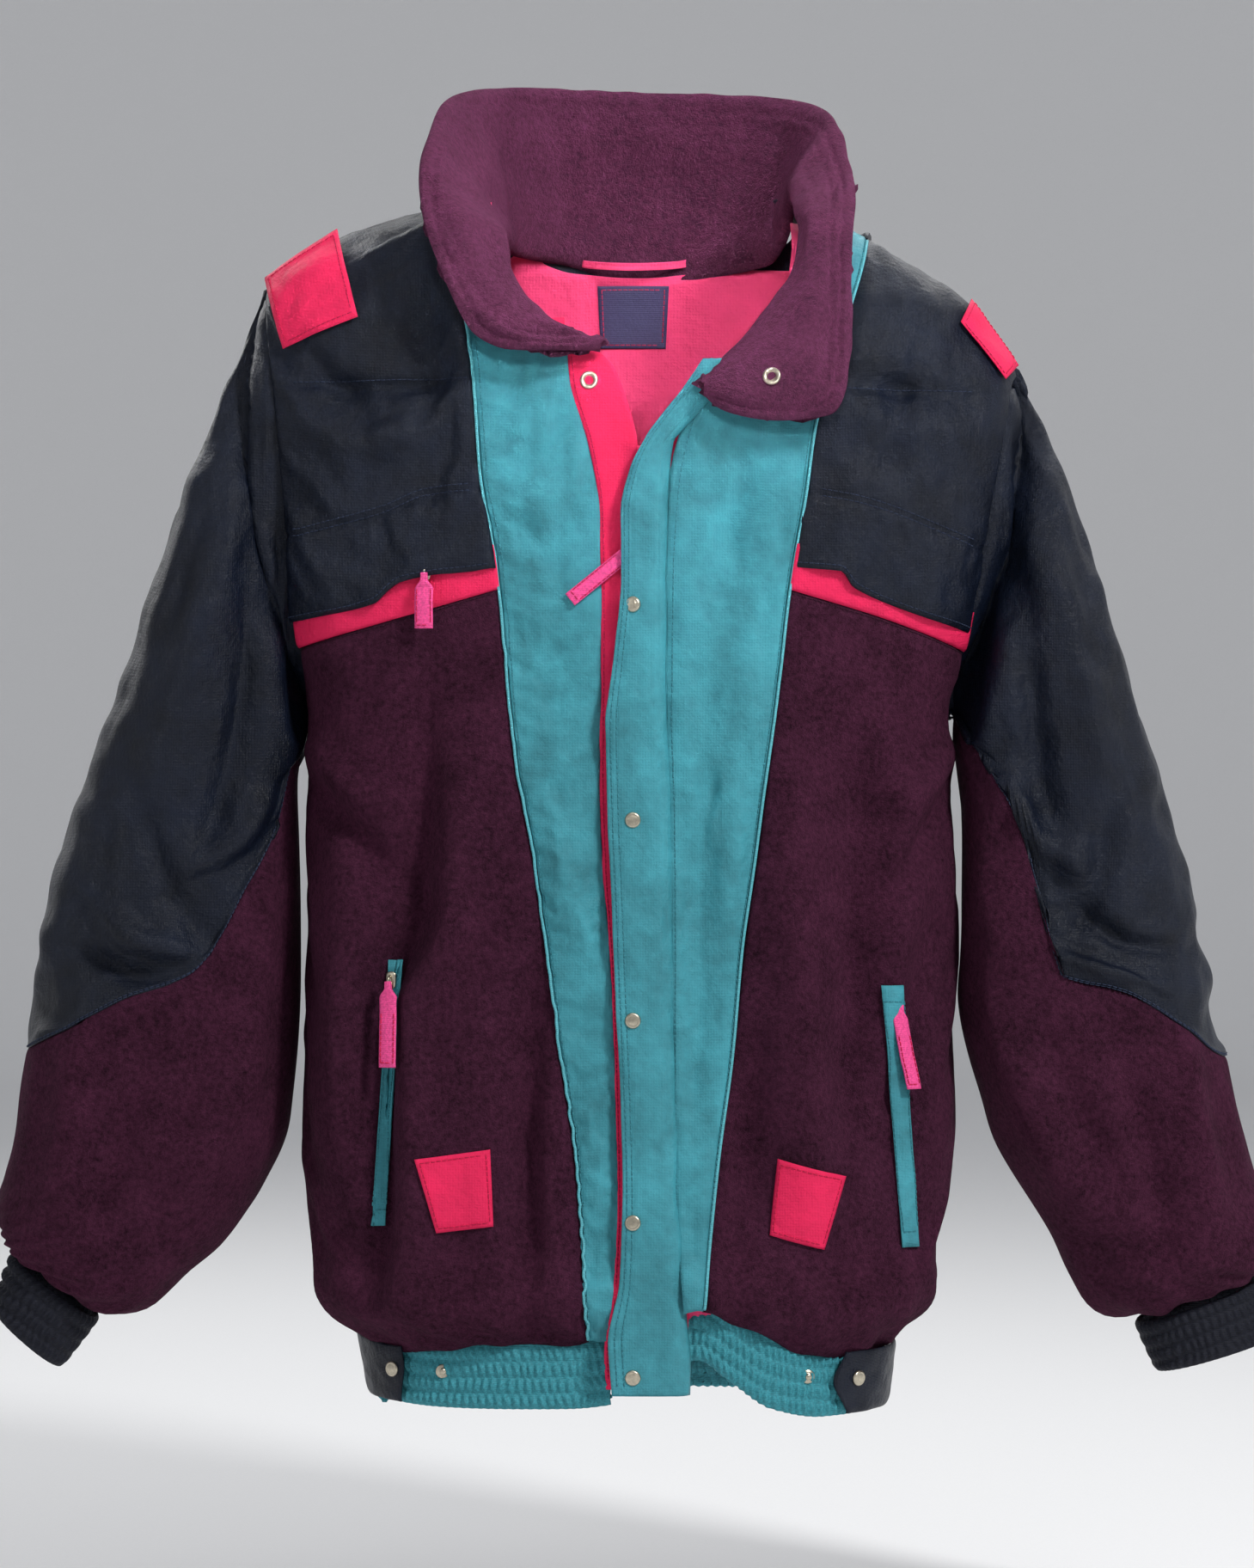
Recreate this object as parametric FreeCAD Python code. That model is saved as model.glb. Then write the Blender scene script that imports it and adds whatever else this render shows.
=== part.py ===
"""Ski jacket: a blouson with fleece and nylon panels, wadding, lining, zips and snaps, in its hung shape.

Millimetres, +Z up. The front faces -Y and the wearer's right side is at -X.
The origin is the middle of the hanging loop, at the back neck seam.
Panels are cut from curved layers of the torso and of the sleeves by prisms along Y, so neighbours share
a seam.
"""
import FreeCAD
import Part
import os
from math import cos, pi, sin

os.makedirs("parts", exist_ok=True)
V = FreeCAD.Vector

# ---------------------------------------------------------------- driving dimensions
HEM_Z = -703.0  # lowest edge of the hem
HEM_TOP_Z = -661.0  # seam between hem band and body
FRONT_Y = -168.0  # plane of the front placket
SEAM_Y = -67.0  # plane that parts front panels from back panels
SHELL_T = 3.0  # outer fabric with its backing
WADDING_T = 4.0
LINING_T = 1.2
LAYER_GAP = 0.3
FAR = 400.0  # reach of cutting prisms
ARMPIT_Z = -286.0
ZIP_X = 10.0  # centre line of the main zip
ZIP_TOP_Z = -150.0  # upper end of the zip
SLIDER_Z = -176.0  # where the main slider rests
PULL_LENGTH = 62.0
PULL_TILT = 51.0  # degrees off plumb at which the pull tape rests
TAPE_IN = 3.5  # how far behind the placket plane the zip tapes lie
PLACKET_HALF = 7.0  # half-width of the gap that the zip fills
FLAP_SEAM_X = 24.0  # where the storm flap is sewn on
FLAP_GAP = 6.6  # room between placket and storm flap
FLAP_T = 2.6
SNAP_R = 4.8  # snap cap radius
SNAP_X = -1.0
COLLAR_T = 3.4
SUPER = 2.6  # roundness of the torso sections
POINTS = 16  # points on one section

# Torso sections: height, half-width on the wearer's right and left, front and back.
TORSO = [
    (-661.0, 163.0, 154.0, -165.0, 17.0),
    (-632.0, 180.0, 170.0, FRONT_Y, 27.0),
    (-540.0, 194.0, 183.0, FRONT_Y, 33.0),
    (-420.0, 195.0, 184.0, FRONT_Y, 34.0),
    (-295.0, 195.0, 186.0, FRONT_Y, 34.0),
    (-235.0, 215.0, 209.0, FRONT_Y, 34.0),
    (-165.0, 233.0, 233.0, FRONT_Y, 34.0),
    (-100.0, 238.0, 239.0, -165.0, 32.0),
    (-45.0, 231.0, 214.0, -154.0, 26.0),
    (-5.0, 204.0, 158.0, -140.0, 18.0),
    (38.0, 92.0, 92.0, -120.0, 3.0),
]

# Sleeve stations from armhole to cuff seam: outer edge x, z, inner edge x, z, half-depth along Y.
SLEEVES = {
    "right": [
        (-227.6, -20.0, -200.6, -285.0, 64.0),
        (-254.0, -83.0, -201.5, -296.0, 63.0),
        (-285.0, -177.0, -203.0, -312.0, 61.0),
        (-316.0, -270.0, -204.5, -334.0, 60.0),
        (-345.0, -364.0, -205.0, -386.0, 62.0),
        (-360.0, -442.0, -205.0, -446.0, 65.0),
        (-367.0, -525.0, -212.0, -524.0, 64.0),
        (-374.0, -582.0, -252.0, -596.0, 54.0),
        (-377.0, -607.0, -320.0, -650.0, 38.0),
    ],
    "left": [
        (236.6, -70.0, 193.6, -285.0, 64.0),
        (254.0, -109.0, 194.0, -298.0, 63.0),
        (279.0, -192.0, 194.5, -318.0, 61.0),
        (303.0, -272.0, 195.0, -345.0, 60.0),
        (328.0, -359.0, 194.5, -392.0, 62.0),
        (347.0, -442.0, 195.5, -446.0, 65.0),
        (364.0, -520.0, 216.0, -522.0, 64.0),
        (377.0, -584.0, 260.0, -604.0, 54.0),
        (384.0, -622.0, 299.0, -650.0, 40.0),
    ],
}
CUFF_END = {"right": (-388.0, -641.0, -346.0, -678.0, 33.0), "left": (392.0, -654.0, 314.0, -678.0, 36.0)}
SLEEVE_Y = -72.0  # centre of the sleeves in depth
SLEEVE_PIVOT = {"right": V(-227.0, SLEEVE_Y, -19.0), "left": V(236.0, SLEEVE_Y, -69.0)}

# Seams in the front view, as x, z points.
TEAL_OUTER = {
    "right": [(-116, 60), (-113, 15), (-97, -78), (-85, -177), (-73, -296), (-51, -442), (-33, -582),
              (-27, -661)],
    "left": [(150, 60), (144, 10), (128, -62), (102, -146), (87, -244), (68, -390), (56, -530), (38, -661)],
}
TEAL_INNER_RIGHT = [(-44, 60), (-40, -60), (-25, -125), (-20, -200), (-20, -300), (-13, -450), (-11, -661)]
YOKE_EDGE = {"right": [(-60, -190), (-240, -236)], "left": [(60, -183), (245, -245)]}
TRIM_EDGE = {"right": [(-60, -199), (-240, -245)], "left": [(60, -192), (245, -254)]}
NAVY_SLEEVE_EDGE = {
    "right": [(-190, -290), (-206, -330), (-236, -400), (-259, -439), (-301, -456), (-400, -494)],
    "left": [(180, -262), (204, -302), (237, -367), (241, -437), (297, -458), (385, -505)],
}
STORM_FLAP_EDGE = [(23, -102), (1, -138), (-8, -180), (-16, -300), (-13, -420), (-8, -560), (-14, -655),
                   (-11, -696)]
FLAP_SNAP_Z = (-222.0, -350.0, -469.0, -589.0, -681.0)
WING = {
    "right": [(-72, 130), (-72, 15), (-69, -26), (-51, -47), (-20, -60), (-12, -69), (-25, -76), (-60, -76),
              (-92, -68), (-113, -36), (-129, 10), (-145, 40), (-145, 130)],
    "left": [(87, 130), (87, 52), (92, 5), (84, -26), (58, -62), (40, -83), (40, -98), (52, -109), (84, -116),
             (119, -112), (130, -88), (131, -50), (136, -10), (145, 26), (145, 130)],
}
SHOULDER_PATCH = {
    "right": [(-182, 11), (-226, -21), (-212, -65), (-166, -48)],
    "left": [(205, -33), (198, -48), (213, -63), (225, -84), (234, -72), (226, -56)],
}
HIP_PATCH = {
    "right": [(-131, -552), (-86, -546), (-84, -592), (-118, -596)],
    "left": [(86, -552), (126, -563), (113, -607), (81, -598)],
}
PULL_LEAN = {"right": 0.0, "left": 14.0}  # degrees off plumb at which the hand pocket pulls rest
HAND_POCKET = {
    "right": [(-138, -436), (-148, -436), (-159, -592), (-149, -592)],
    "left": [(149, -450), (159, -450), (170, -606), (160, -606)],
}
SIDES = {"right": -1.0, "left": 1.0}

parts = {}


# ---------------------------------------------------------------- building blocks
def curve(points, closed=False):
    """A smooth edge through points."""
    spline = Part.BSplineCurve()
    spline.interpolate(Points=points, PeriodicFlag=closed)
    return spline.toShape()


def front_curve(points):
    """A smooth edge through x, z points in the front plane."""
    return curve([V(x, 0, z) for x, z in points])


def front_lines(points):
    """Straight edges through x, z points in the front plane."""
    ends = [V(x, 0, z) for x, z in points]
    return [Part.makeLine(a, b) for a, b in zip(ends, ends[1:])]


def prism(edges, y0, y1):
    """A solid between y0 and y1 with a front outline made of edges."""
    wire = Part.Wire(Part.__sortEdges__(list(edges)))
    wire.translate(V(0, y0, 0))
    return Part.Face(wire).extrude(V(0, y1 - y0, 0))


def plate(points, y0, y1):
    """A prism whose front outline is a polygon of x, z points."""
    return prism(front_lines(list(points) + [points[0]]), y0, y1)


def box(x0, x1, y0, y1, z0, z1):
    return Part.makeBox(x1 - x0, y1 - y0, z1 - z0, V(x0, y0, z0))


def cylinder(radius, start, direction, length):
    return Part.makeCylinder(radius, length, start, direction)


def add(name, *solids):
    """Writes one node, which is one or more solids, and keeps it for later steps."""
    flat = [s for shape in solids for s in shape.Solids]
    parts[name] = flat[0] if len(flat) == 1 else Part.makeCompound(flat)
    parts[name].exportStep("parts/" + name + ".step")
    return parts[name]


# ---------------------------------------------------------------- torso layers
def rounded(angle, power):
    """A unit superellipse's point at an angle."""
    c, s = cos(angle), sin(angle)
    across = abs(c) ** (2 / power) * (1 if c >= 0 else -1)
    deep = abs(s) ** (2 / power) * (1 if s >= 0 else -1)
    return across, deep


def skinned(rows):
    """A closed solid through rows of points that each run once around."""
    surface = Part.BSplineSurface()
    surface.interpolate([row + [row[0]] for row in rows])
    u0, u1, v0, v1 = surface.bounds()
    ends = [Part.Face(Part.Wire([surface.uIso(u).toShape()])) for u in (u0, u1)]
    hull = Part.makeShell([surface.toShape()] + ends)
    hull.sewShape()
    solid = Part.makeSolid(hull)
    if solid.Volume < 0:
        solid.reverse()
    return solid


def torso_row(z, right, left, front, back, inset):
    """Points once around a superellipse whose two sides may differ in width."""
    middle, depth = (front + back) / 2, (back - front) / 2 - inset
    points = []
    for i in range(POINTS):
        across, deep = rounded(2 * pi * i / POINTS, SUPER)
        half = (left if across >= 0 else right) - inset
        points.append(V(half * across, middle + depth * deep, z))
    return points


def torso_solid(inset):
    """The torso's outer form, shrunk by inset, or grown where inset is negative."""
    rows = []
    for z, right, left, front, back in TORSO:
        drop = inset * 0.8 if z > -80 else 0.0  # keeps the layers apart on the sloping shoulders
        rows.append(torso_row(z - drop, right, left, front, back, inset))
    return skinned(rows)


def torso_layer(outer_inset, inner_inset):
    """A tube of cloth between two insets, open at hem and neck."""
    return torso_solid(outer_inset).cut(torso_solid(inner_inset))


def armhole_cutter(side):
    """What lies outside the armhole, above the armpit."""
    top_x, top_z, low_x = SLEEVES[side][0][0], SLEEVES[side][0][1], SLEEVES[side][0][2]
    rise = (top_x - low_x) / (top_z - ARMPIT_Z)
    peak = top_x + rise * (60 - top_z)
    out = SIDES[side]
    gap = out * 0.8
    corners = [(low_x - gap, ARMPIT_Z), (peak - gap, 60), (out * 330, 60), (out * 330, ARMPIT_Z)]
    return plate(corners, -FAR, FAR)


NECK_RIGHT = [(-17, -62), (-36, -46), (-62, -18), (-80, 10), (-92, 60)]
NECK_LEFT = [(30, -96), (40, -70), (62, -30), (80, 4), (92, 60)]
NECK_BACK = [(-92, 60), (-84, 24), (-45, 4), (0, 0), (45, 4), (84, 24), (92, 60)]


def neck_cutter():
    """The open V and the neckline, at the front only."""
    edges = [front_curve(NECK_RIGHT), front_curve(NECK_LEFT)]
    edges += front_lines([NECK_RIGHT[-1], NECK_LEFT[-1]])
    edges += front_lines([NECK_RIGHT[0], (ZIP_X, ZIP_TOP_Z), NECK_LEFT[0]])
    return prism(edges, -FAR, SEAM_Y)


def back_neck_cutter():
    """The back neckline dips to the origin between the shoulders."""
    return prism([front_curve(NECK_BACK)] + front_lines([NECK_BACK[-1], NECK_BACK[0]]), SEAM_Y, FAR)


ARMHOLES = [armhole_cutter("right"), armhole_cutter("left")]
NECK = [neck_cutter(), back_neck_cutter()]


def opened(layer):
    """Opens a torso layer at armholes and neck."""
    for cutter in ARMHOLES + NECK:
        layer = layer.cut(cutter)
    return layer


WADDING_IN = SHELL_T + LAYER_GAP
LINING_IN = WADDING_IN + WADDING_T + LAYER_GAP
LINING_BACK = LINING_IN + LINING_T
torso = torso_solid(0.0)
shell = opened(torso_layer(0.0, SHELL_T))
wadding = opened(torso_layer(WADDING_IN, WADDING_IN + WADDING_T))
lining = opened(torso_layer(LINING_IN, LINING_BACK))


def surface_y(x, z, solid):
    """The front of a solid at x, z."""
    probe = Part.makeLine(V(x, -FAR, z), V(x, SEAM_Y, z)).common(solid)
    return min(v.Point.y for v in probe.Vertexes)


def surface_frame(x, z, solid):
    """A point on the front of a solid, and the outward direction there, level."""
    y, y_side = surface_y(x, z, solid), surface_y(x + 2, z, solid)
    tangent = V(2, y_side - y, 0)
    tangent.normalize()
    return V(x, y, z), V(tangent.y, -tangent.x, 0), tangent


# ---------------------------------------------------------------- front panels
def region(edge, side, outward):
    """What lies on the outer or inner side of a seam that runs down the front."""
    x_end = SIDES[side] * 330 if outward else ZIP_X
    bottom = (edge[-1][0], HEM_TOP_Z)
    tail = [bottom, (x_end, HEM_TOP_Z), (x_end, 60), edge[0]]
    return prism([front_curve(edge)] + front_lines(tail), -FAR, SEAM_Y)


def below(edge, side):
    """The part of one front half that lies below a straight seam."""
    (x0, z0), (x1, z1) = edge
    return plate([(ZIP_X, z0), (x0, z0), (x1, z1), (SIDES[side] * 330, z1), (SIDES[side] * 330, -900),
                  (ZIP_X, -900)], -FAR, SEAM_Y)


def make_front_panels():
    for side, out in SIDES.items():
        outer = shell.common(region(TEAL_OUTER[side], side, True))
        below_yoke, below_trim = below(YOKE_EDGE[side], side), below(TRIM_EDGE[side], side)
        add("fleece_front_" + side, outer.common(below_trim))
        add("yoke_front_" + side, outer.cut(below_yoke))
        add("chest_trim_" + side, outer.common(below_yoke).cut(below_trim))
    zip_gap = box(ZIP_X - PLACKET_HALF, ZIP_X + PLACKET_HALF, -FAR, SEAM_Y, -900, 100)
    tape_room = box(ZIP_X - 14, ZIP_X + 14, FRONT_Y + TAPE_IN - 0.2, SEAM_Y, HEM_TOP_Z + 4, ZIP_TOP_Z)
    zip_gap = zip_gap.fuse(tape_room)
    middle = shell.common(region(TEAL_OUTER["right"], "right", False)).cut(zip_gap)
    placket_right = region(TEAL_INNER_RIGHT, "right", False)
    add("teal_front_right", middle.cut(placket_right))
    add("facing_right", middle.common(placket_right))
    middle = shell.common(region(TEAL_OUTER["left"], "left", False)).cut(zip_gap)
    strip = box(ZIP_X, FLAP_SEAM_X, -FAR, SEAM_Y, -900, 100)
    ridge_y = FRONT_Y - FLAP_GAP - FLAP_T + 0.2
    ridge = box(FLAP_SEAM_X + 3.5, FLAP_SEAM_X + 9, ridge_y, FRONT_Y + 1.5, HEM_TOP_Z + 4, -112)
    add("teal_front_left", middle.cut(strip).fuse(ridge))
    add("facing_left", middle.common(strip))


def make_back_and_inside():
    back = box(-330, 330, SEAM_Y, FAR, HEM_TOP_Z, 60)
    yoke_zone = box(-330, 330, SEAM_Y, FAR, -196, 60)
    add("yoke_back", shell.common(yoke_zone))
    add("fleece_back", shell.common(back).cut(yoke_zone))
    zip_room = box(ZIP_X - 15, ZIP_X + 15, -FAR, SEAM_Y, -900, 100)
    halves = {
        "right": box(-330, ZIP_X, -FAR, SEAM_Y, HEM_TOP_Z, 60),
        "left": box(ZIP_X, 330, -FAR, SEAM_Y, HEM_TOP_Z, 60),
    }
    bags = pocket_bag_zones()
    padding = [wadding.common(back)]
    pockets = []
    for side in SIDES:
        front = wadding.common(halves[side]).cut(zip_room)
        for zone in bags[side]:
            pockets.append(front.common(zone))
            front = front.cut(zone)
        padding.append(front)
        add("lining_front_" + side, lining.common(halves[side]).cut(zip_room))
    add("wadding", *padding)
    add("pocket_bags", *pockets)
    add("lining_back", lining.common(back))


def pocket_bag_zones():
    """Front outlines of the pocket bags: a hand pocket on each side, a chest pocket on the right."""
    hand_right = plate([(-166, -420), (-60, -470), (-60, -610), (-166, -610)], -FAR, SEAM_Y)
    hand_left = plate([(172, -434), (72, -484), (72, -620), (172, -620)], -FAR, SEAM_Y)
    chest = plate([(-92, -206), (-180, -228), (-180, -340), (-92, -340)], -FAR, SEAM_Y)
    return {"right": [hand_right, chest], "left": [hand_left]}


# ---------------------------------------------------------------- sleeves and cuffs
def sleeve_row(station, inset):
    """Points once around a section between an outer and an inner edge point."""
    x_out, z_out, x_in, z_in, half_depth = station
    middle = V((x_out + x_in) / 2, SLEEVE_Y, (z_out + z_in) / 2)
    half = V((x_out - x_in) / 2, 0, (z_out - z_in) / 2)
    reach = half.Length - inset
    half.normalize()
    points = []
    for i in range(POINTS):
        across, deep = rounded(2 * pi * i / POINTS, 2.3)
        points.append(middle + half * (reach * across) + V(0, (half_depth - inset) * deep, 0))
    return points


def sleeve_tube(stations, outer_inset, inner_inset):
    outer = skinned([sleeve_row(s, outer_inset) for s in stations])
    return outer.cut(skinned([sleeve_row(s, inner_inset) for s in stations]))


def make_sleeves():
    for side, out in SIDES.items():
        cloth = sleeve_tube(SLEEVES[side], 0.0, SHELL_T)
        edge = NAVY_SLEEVE_EDGE[side]
        far_side = [edge[-1], (out * 440, edge[-1][1]), (out * 440, 60)]
        corners = far_side + [(out * 120, 60), (out * 120, edge[0][1]), edge[0]]
        navy_zone = prism([front_curve(edge)] + front_lines(corners), -FAR, FAR)
        add("sleeve_navy_" + side, cloth.common(navy_zone))
        add("sleeve_fleece_" + side, cloth.cut(navy_zone))
        add("sleeve_lining_" + side, sleeve_tube(SLEEVES[side], WADDING_IN, WADDING_IN + LINING_T))
        x_out, z_out, x_in, z_in, half_depth = SLEEVES[side][-1]
        gathered = (x_out, z_out, x_in, z_in, half_depth - 1.0)
        add("cuff_" + side, sleeve_tube([gathered, CUFF_END[side]], 2.0, 6.0))


# ---------------------------------------------------------------- hem
HEM_FORM = (160.0, 151.0, -164.0, 16.0)  # right and left half-widths, front and back of the hem band
HEM_T = 5.0
TAB_T = 2.2


def hem_solid(inset, z0, z1):
    right, left, front, back = HEM_FORM
    wire = Part.Wire([curve(torso_row(z0, right, left, front, back, inset), closed=True)])
    return Part.Face(wire).extrude(V(0, 0, z1 - z0))


def make_hem():
    band = hem_solid(0.0, HEM_Z, HEM_TOP_Z - 0.3).cut(hem_solid(HEM_T, HEM_Z, HEM_TOP_Z - 0.3))
    front = box(-330, 330, -FAR, SEAM_Y, -900, 0)
    add("hem_front_right", band.common(front).common(box(-330, ZIP_X - PLACKET_HALF, -FAR, FAR, -900, 0)))
    add("hem_front_left", band.common(front).common(box(ZIP_X + PLACKET_HALF, 330, -FAR, FAR, -900, 0)))
    add("hem_back", band.cut(front))
    tab_layer = hem_solid(-0.5 - TAB_T, HEM_Z + 3, HEM_TOP_Z - 4)
    tab_layer = tab_layer.cut(hem_solid(-0.5, HEM_Z + 3, HEM_TOP_Z - 4))
    tips = {"right": -137.0, "left": 126.0}
    snap_z = {"right": -681.0, "left": -684.0}
    studs = []
    for side, out in SIDES.items():
        tip, middle = tips[side], (HEM_Z + HEM_TOP_Z - 1) / 2
        outline = [(tip, middle + 5), (tip, middle - 5), (tip + out * 12, HEM_Z), (out * 330, HEM_Z),
                   (out * 330, HEM_TOP_Z), (tip + out * 12, HEM_TOP_Z)]
        tab = tab_layer.common(plate(outline, -FAR, SEAM_Y + 5))
        add("hem_tab_" + side, tab)
        point, normal, across = surface_frame(tip + out * 9, snap_z[side], tab)
        add("tab_snap_" + side, cylinder(SNAP_R, point + normal * 0.6, normal, 2.0))
        point, normal, across = surface_frame(tip - out * 22, snap_z[side], band)
        studs.append(cylinder(SNAP_R * 0.9, point + normal * 0.1, normal, 1.0))
        studs[-1] = studs[-1].fuse(cylinder(SNAP_R * 0.45, point + normal * 0.6, normal, 2.2))
    add("hem_studs", *studs)


# ---------------------------------------------------------------- collar
COLLAR = [
    (-125.0, 122.0, 133.0, -182.0, 12.0),
    (-60.0, 124.0, 133.0, -183.0, 12.0),
    (0.0, 129.0, 135.0, -180.0, 12.0),
    (50.0, 130.0, 133.0, -170.0, 10.0),
    (107.0, 108.0, 110.0, -150.0, 2.0),
]


def collar_solid(inset):
    return skinned([torso_row(*section, inset) for section in COLLAR])


def make_collar():
    body = torso_solid(-0.4)
    for cutter in NECK:
        body = body.cut(cutter)
    wings = [plate(WING[side], -FAR, SEAM_Y) for side in WING]
    back = prism([front_curve(NECK_BACK)] + front_lines([NECK_BACK[-1], (150, 60), (150, 130), (-150, 130),
                                                         (-150, 60), NECK_BACK[0]]), SEAM_Y, FAR)
    shoulders = [box(-150, -60, SEAM_Y, FAR, 10, 62), box(60, 150, SEAM_Y, FAR, 10, 62)]
    zone = back.fuse(wings + shoulders)
    layers = {"collar_outer": (0.0, COLLAR_T), "collar_inner": (COLLAR_T + 0.3, 2 * COLLAR_T + 0.3)}
    made = {}
    for name, (outer, inner) in layers.items():
        layer = collar_solid(outer).cut(collar_solid(inner))
        made[name] = add(name, layer.common(zone).cut(body))
    bead = collar_solid(-1.8).cut(collar_solid(-0.2)).common(torso_solid(-2.6).cut(torso_solid(-0.7)))
    add("collar_piping", bead.common(box(-200, 200, -120, FAR, -10, 60)))
    point, normal, across = surface_frame(81, -88, made["collar_outer"])
    ring = cylinder(SNAP_R + 0.7, point + normal * 0.4, normal, 1.6)
    ring = ring.cut(cylinder(2.2, point, normal, 4))
    point, normal, across = surface_frame(-27, -88, torso)
    socket = cylinder(SNAP_R, point + normal * 0.6, normal, 1.6).cut(cylinder(2.0, point, normal, 4))
    add("collar_snaps", ring, socket)


def make_neck_details():
    inner = torso_layer(LINING_BACK + 0.3, LINING_BACK + 1.1)
    add("neck_label", inner.common(box(-23, 23, SEAM_Y, FAR, -54, -13)))
    bow = curve([V(-32, 4.6, 0), V(-22, -1, 0), V(0, -5.4, 0), V(22, -1, 0), V(32, 4.6, 0)])
    path = Part.Wire([bow])
    end = bow.tangentAt(bow.FirstParameter)
    side = V(-end.y, end.x, 0)
    start = V(-32, 4.6, 0)
    corners = [start + side * a + V(0, 0, b) for a, b in ((-0.6, -4), (0.6, -4), (0.6, 4), (-0.6, 4))]
    section = Part.makePolygon(corners + [corners[0]])
    loop = path.makePipeShell([section], True, False)
    add("hang_loop", loop.cut(parts["collar_inner"]))


# ---------------------------------------------------------------- main zip and storm flap
def make_main_zip():
    z0, z1 = HEM_TOP_Z + 6, ZIP_TOP_Z - 2
    for side, out in SIDES.items():
        x0, x1 = sorted((ZIP_X + out * 1.2, ZIP_X + out * 13.5))
        add("zip_tape_" + side, box(x0, x1, FRONT_Y + TAPE_IN, FRONT_Y + TAPE_IN + 0.9, z0, z1))
        x0, x1 = sorted((ZIP_X + out * 1.0, ZIP_X + out * 3.2))
        coil = box(x0, x1, FRONT_Y + 0.8, FRONT_Y + 3.3, z0 + 10, z1 - 4)
        stop = box(x0, x1, FRONT_Y + 0.6, FRONT_Y + 3.3, z1 - 3.6, z1)
        add("zip_coil_" + side, coil, stop)
    add("zip_box", box(ZIP_X - 5, ZIP_X + 5, FRONT_Y + 0.2, FRONT_Y + 3.3, z0 - 2, z0 + 9))
    top = SLIDER_Z
    plates = box(ZIP_X - 5, ZIP_X + 5, FRONT_Y - 1.4, FRONT_Y + 0.3, top - 14, top)
    plates = plates.fuse(box(ZIP_X - 5, ZIP_X + 5, FRONT_Y + 5.0, FRONT_Y + 6.4, top - 14, top))
    web = box(ZIP_X - 0.6, ZIP_X + 0.6, FRONT_Y, FRONT_Y + 5.2, top - 12, top - 3)
    ring = cylinder(1.6, V(ZIP_X, FRONT_Y - 4.4, top - 4), V(0, 1, 0), 3.4)
    add("zip_slider", plates.fuse([web, ring]))
    eye = V(ZIP_X, FRONT_Y, top - 4)
    tape = box(-4.4, 4.4, -4.0, -2.6, -PULL_LENGTH, 4)
    tape = tape.cut(cylinder(2.0, V(0, -8, 0), V(0, 1, 0), 8))
    tape.rotate(V(0, 0, 0), V(0, 1, 0), PULL_TILT)
    tape.translate(eye)
    add("zip_pull", tape)


def make_storm_flap():
    out_y = FRONT_Y - FLAP_GAP - FLAP_T
    edge = STORM_FLAP_EDGE
    ends = front_lines([edge[-1], (FLAP_SEAM_X, edge[-1][1] + 6), (FLAP_SEAM_X, edge[0][1]), edge[0]])
    flap = prism([front_curve(edge)] + ends, out_y, out_y + FLAP_T)
    snaps, studs = [], []
    for z in FLAP_SNAP_Z:
        shank = cylinder(1.6, V(SNAP_X, out_y - 0.5, z), V(0, 1, 0), FLAP_T + 1)
        flap = flap.cut(shank)
        cap = cylinder(SNAP_R, V(SNAP_X, out_y - 2.0, z), V(0, 1, 0), 2.0)
        socket = cylinder(SNAP_R * 0.8, V(SNAP_X, out_y + FLAP_T, z), V(0, 1, 0), 1.8)
        socket = socket.cut(cylinder(2.1, V(SNAP_X, out_y + FLAP_T + 0.6, z), V(0, 1, 0), 3))
        snaps.append(shank.fuse([cap, socket]))
        base_y = surface_y(SNAP_X, z, torso) if z > HEM_TOP_Z else HEM_FORM[2]
        base = cylinder(SNAP_R * 0.8, V(SNAP_X, base_y - 0.9, z), V(0, 1, 0), 0.8)
        base = base.fuse(cylinder(1.7, V(SNAP_X, base_y - 2.0, z), V(0, 1, 0), 1.5))
        studs.append(base.cut(shell))
    add("storm_flap", flap)
    add("flap_snaps", *snaps)
    add("placket_studs", *studs)


# ---------------------------------------------------------------- pockets and patches
def make_pockets():
    welt_layer = torso_layer(-2.2, -0.3)
    grown = torso_solid(-2.2)
    welts = []
    for side, out in SIDES.items():
        outline = HAND_POCKET[side]
        welts.append(welt_layer.common(plate(outline, -FAR, SEAM_Y)))
        x = (outline[0][0] + outline[1][0]) / 2 + out * 1.5
        make_slider_and_pull("hand_" + side, x, outline[0][1] - 10, grown, 1.2, 50, PULL_LEAN[side])
    add("pocket_welts", *welts)
    make_slider_and_pull("chest", -124, -202, torso, 1.4, 32, 0.0)


def make_slider_and_pull(name, x, z, solid, lift, length, lean):
    """A pocket zip's slider on the cloth and the tape that hangs from it."""
    point, normal, across = surface_frame(x, z, solid)
    turn = across.getAngle(V(1, 0, 0)) * (1 if across.y > 0 else -1)
    body = box(-3.5, 3.5, -2.6, 0, -5, 5)
    pin = cylinder(1.0, V(-3.5, -5.2, -2), V(1, 0, 0), 7)
    lugs = [box(-3.5, -2.3, -6.4, -2, -3.4, -0.6), box(2.3, 3.5, -6.4, -2, -3.4, -0.6)]
    slider = body.fuse(lugs + [pin])
    eye = cylinder(2.1, V(-2, -5.2, -2), V(1, 0, 0), 4).fuse(box(-2, 2, -6.0, -4.4, -9, -3.8))
    eye = eye.cut(cylinder(1.3, V(-5, -5.2, -2), V(1, 0, 0), 10))
    tape = box(-5.6, 5.6, -6.2, -4.2, -length, -8)
    tape.rotate(V(0, -5.2, -8.5), V(0, 1, 0), -lean)
    pull = eye.fuse(tape)
    for piece, label in ((slider, "_slider"), (pull, "_pull")):
        piece.rotate(V(0, 0, 0), V(0, 0, 1), turn * 180 / pi)
        piece.translate(point + normal * lift)
        add(name + label, piece)


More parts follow.
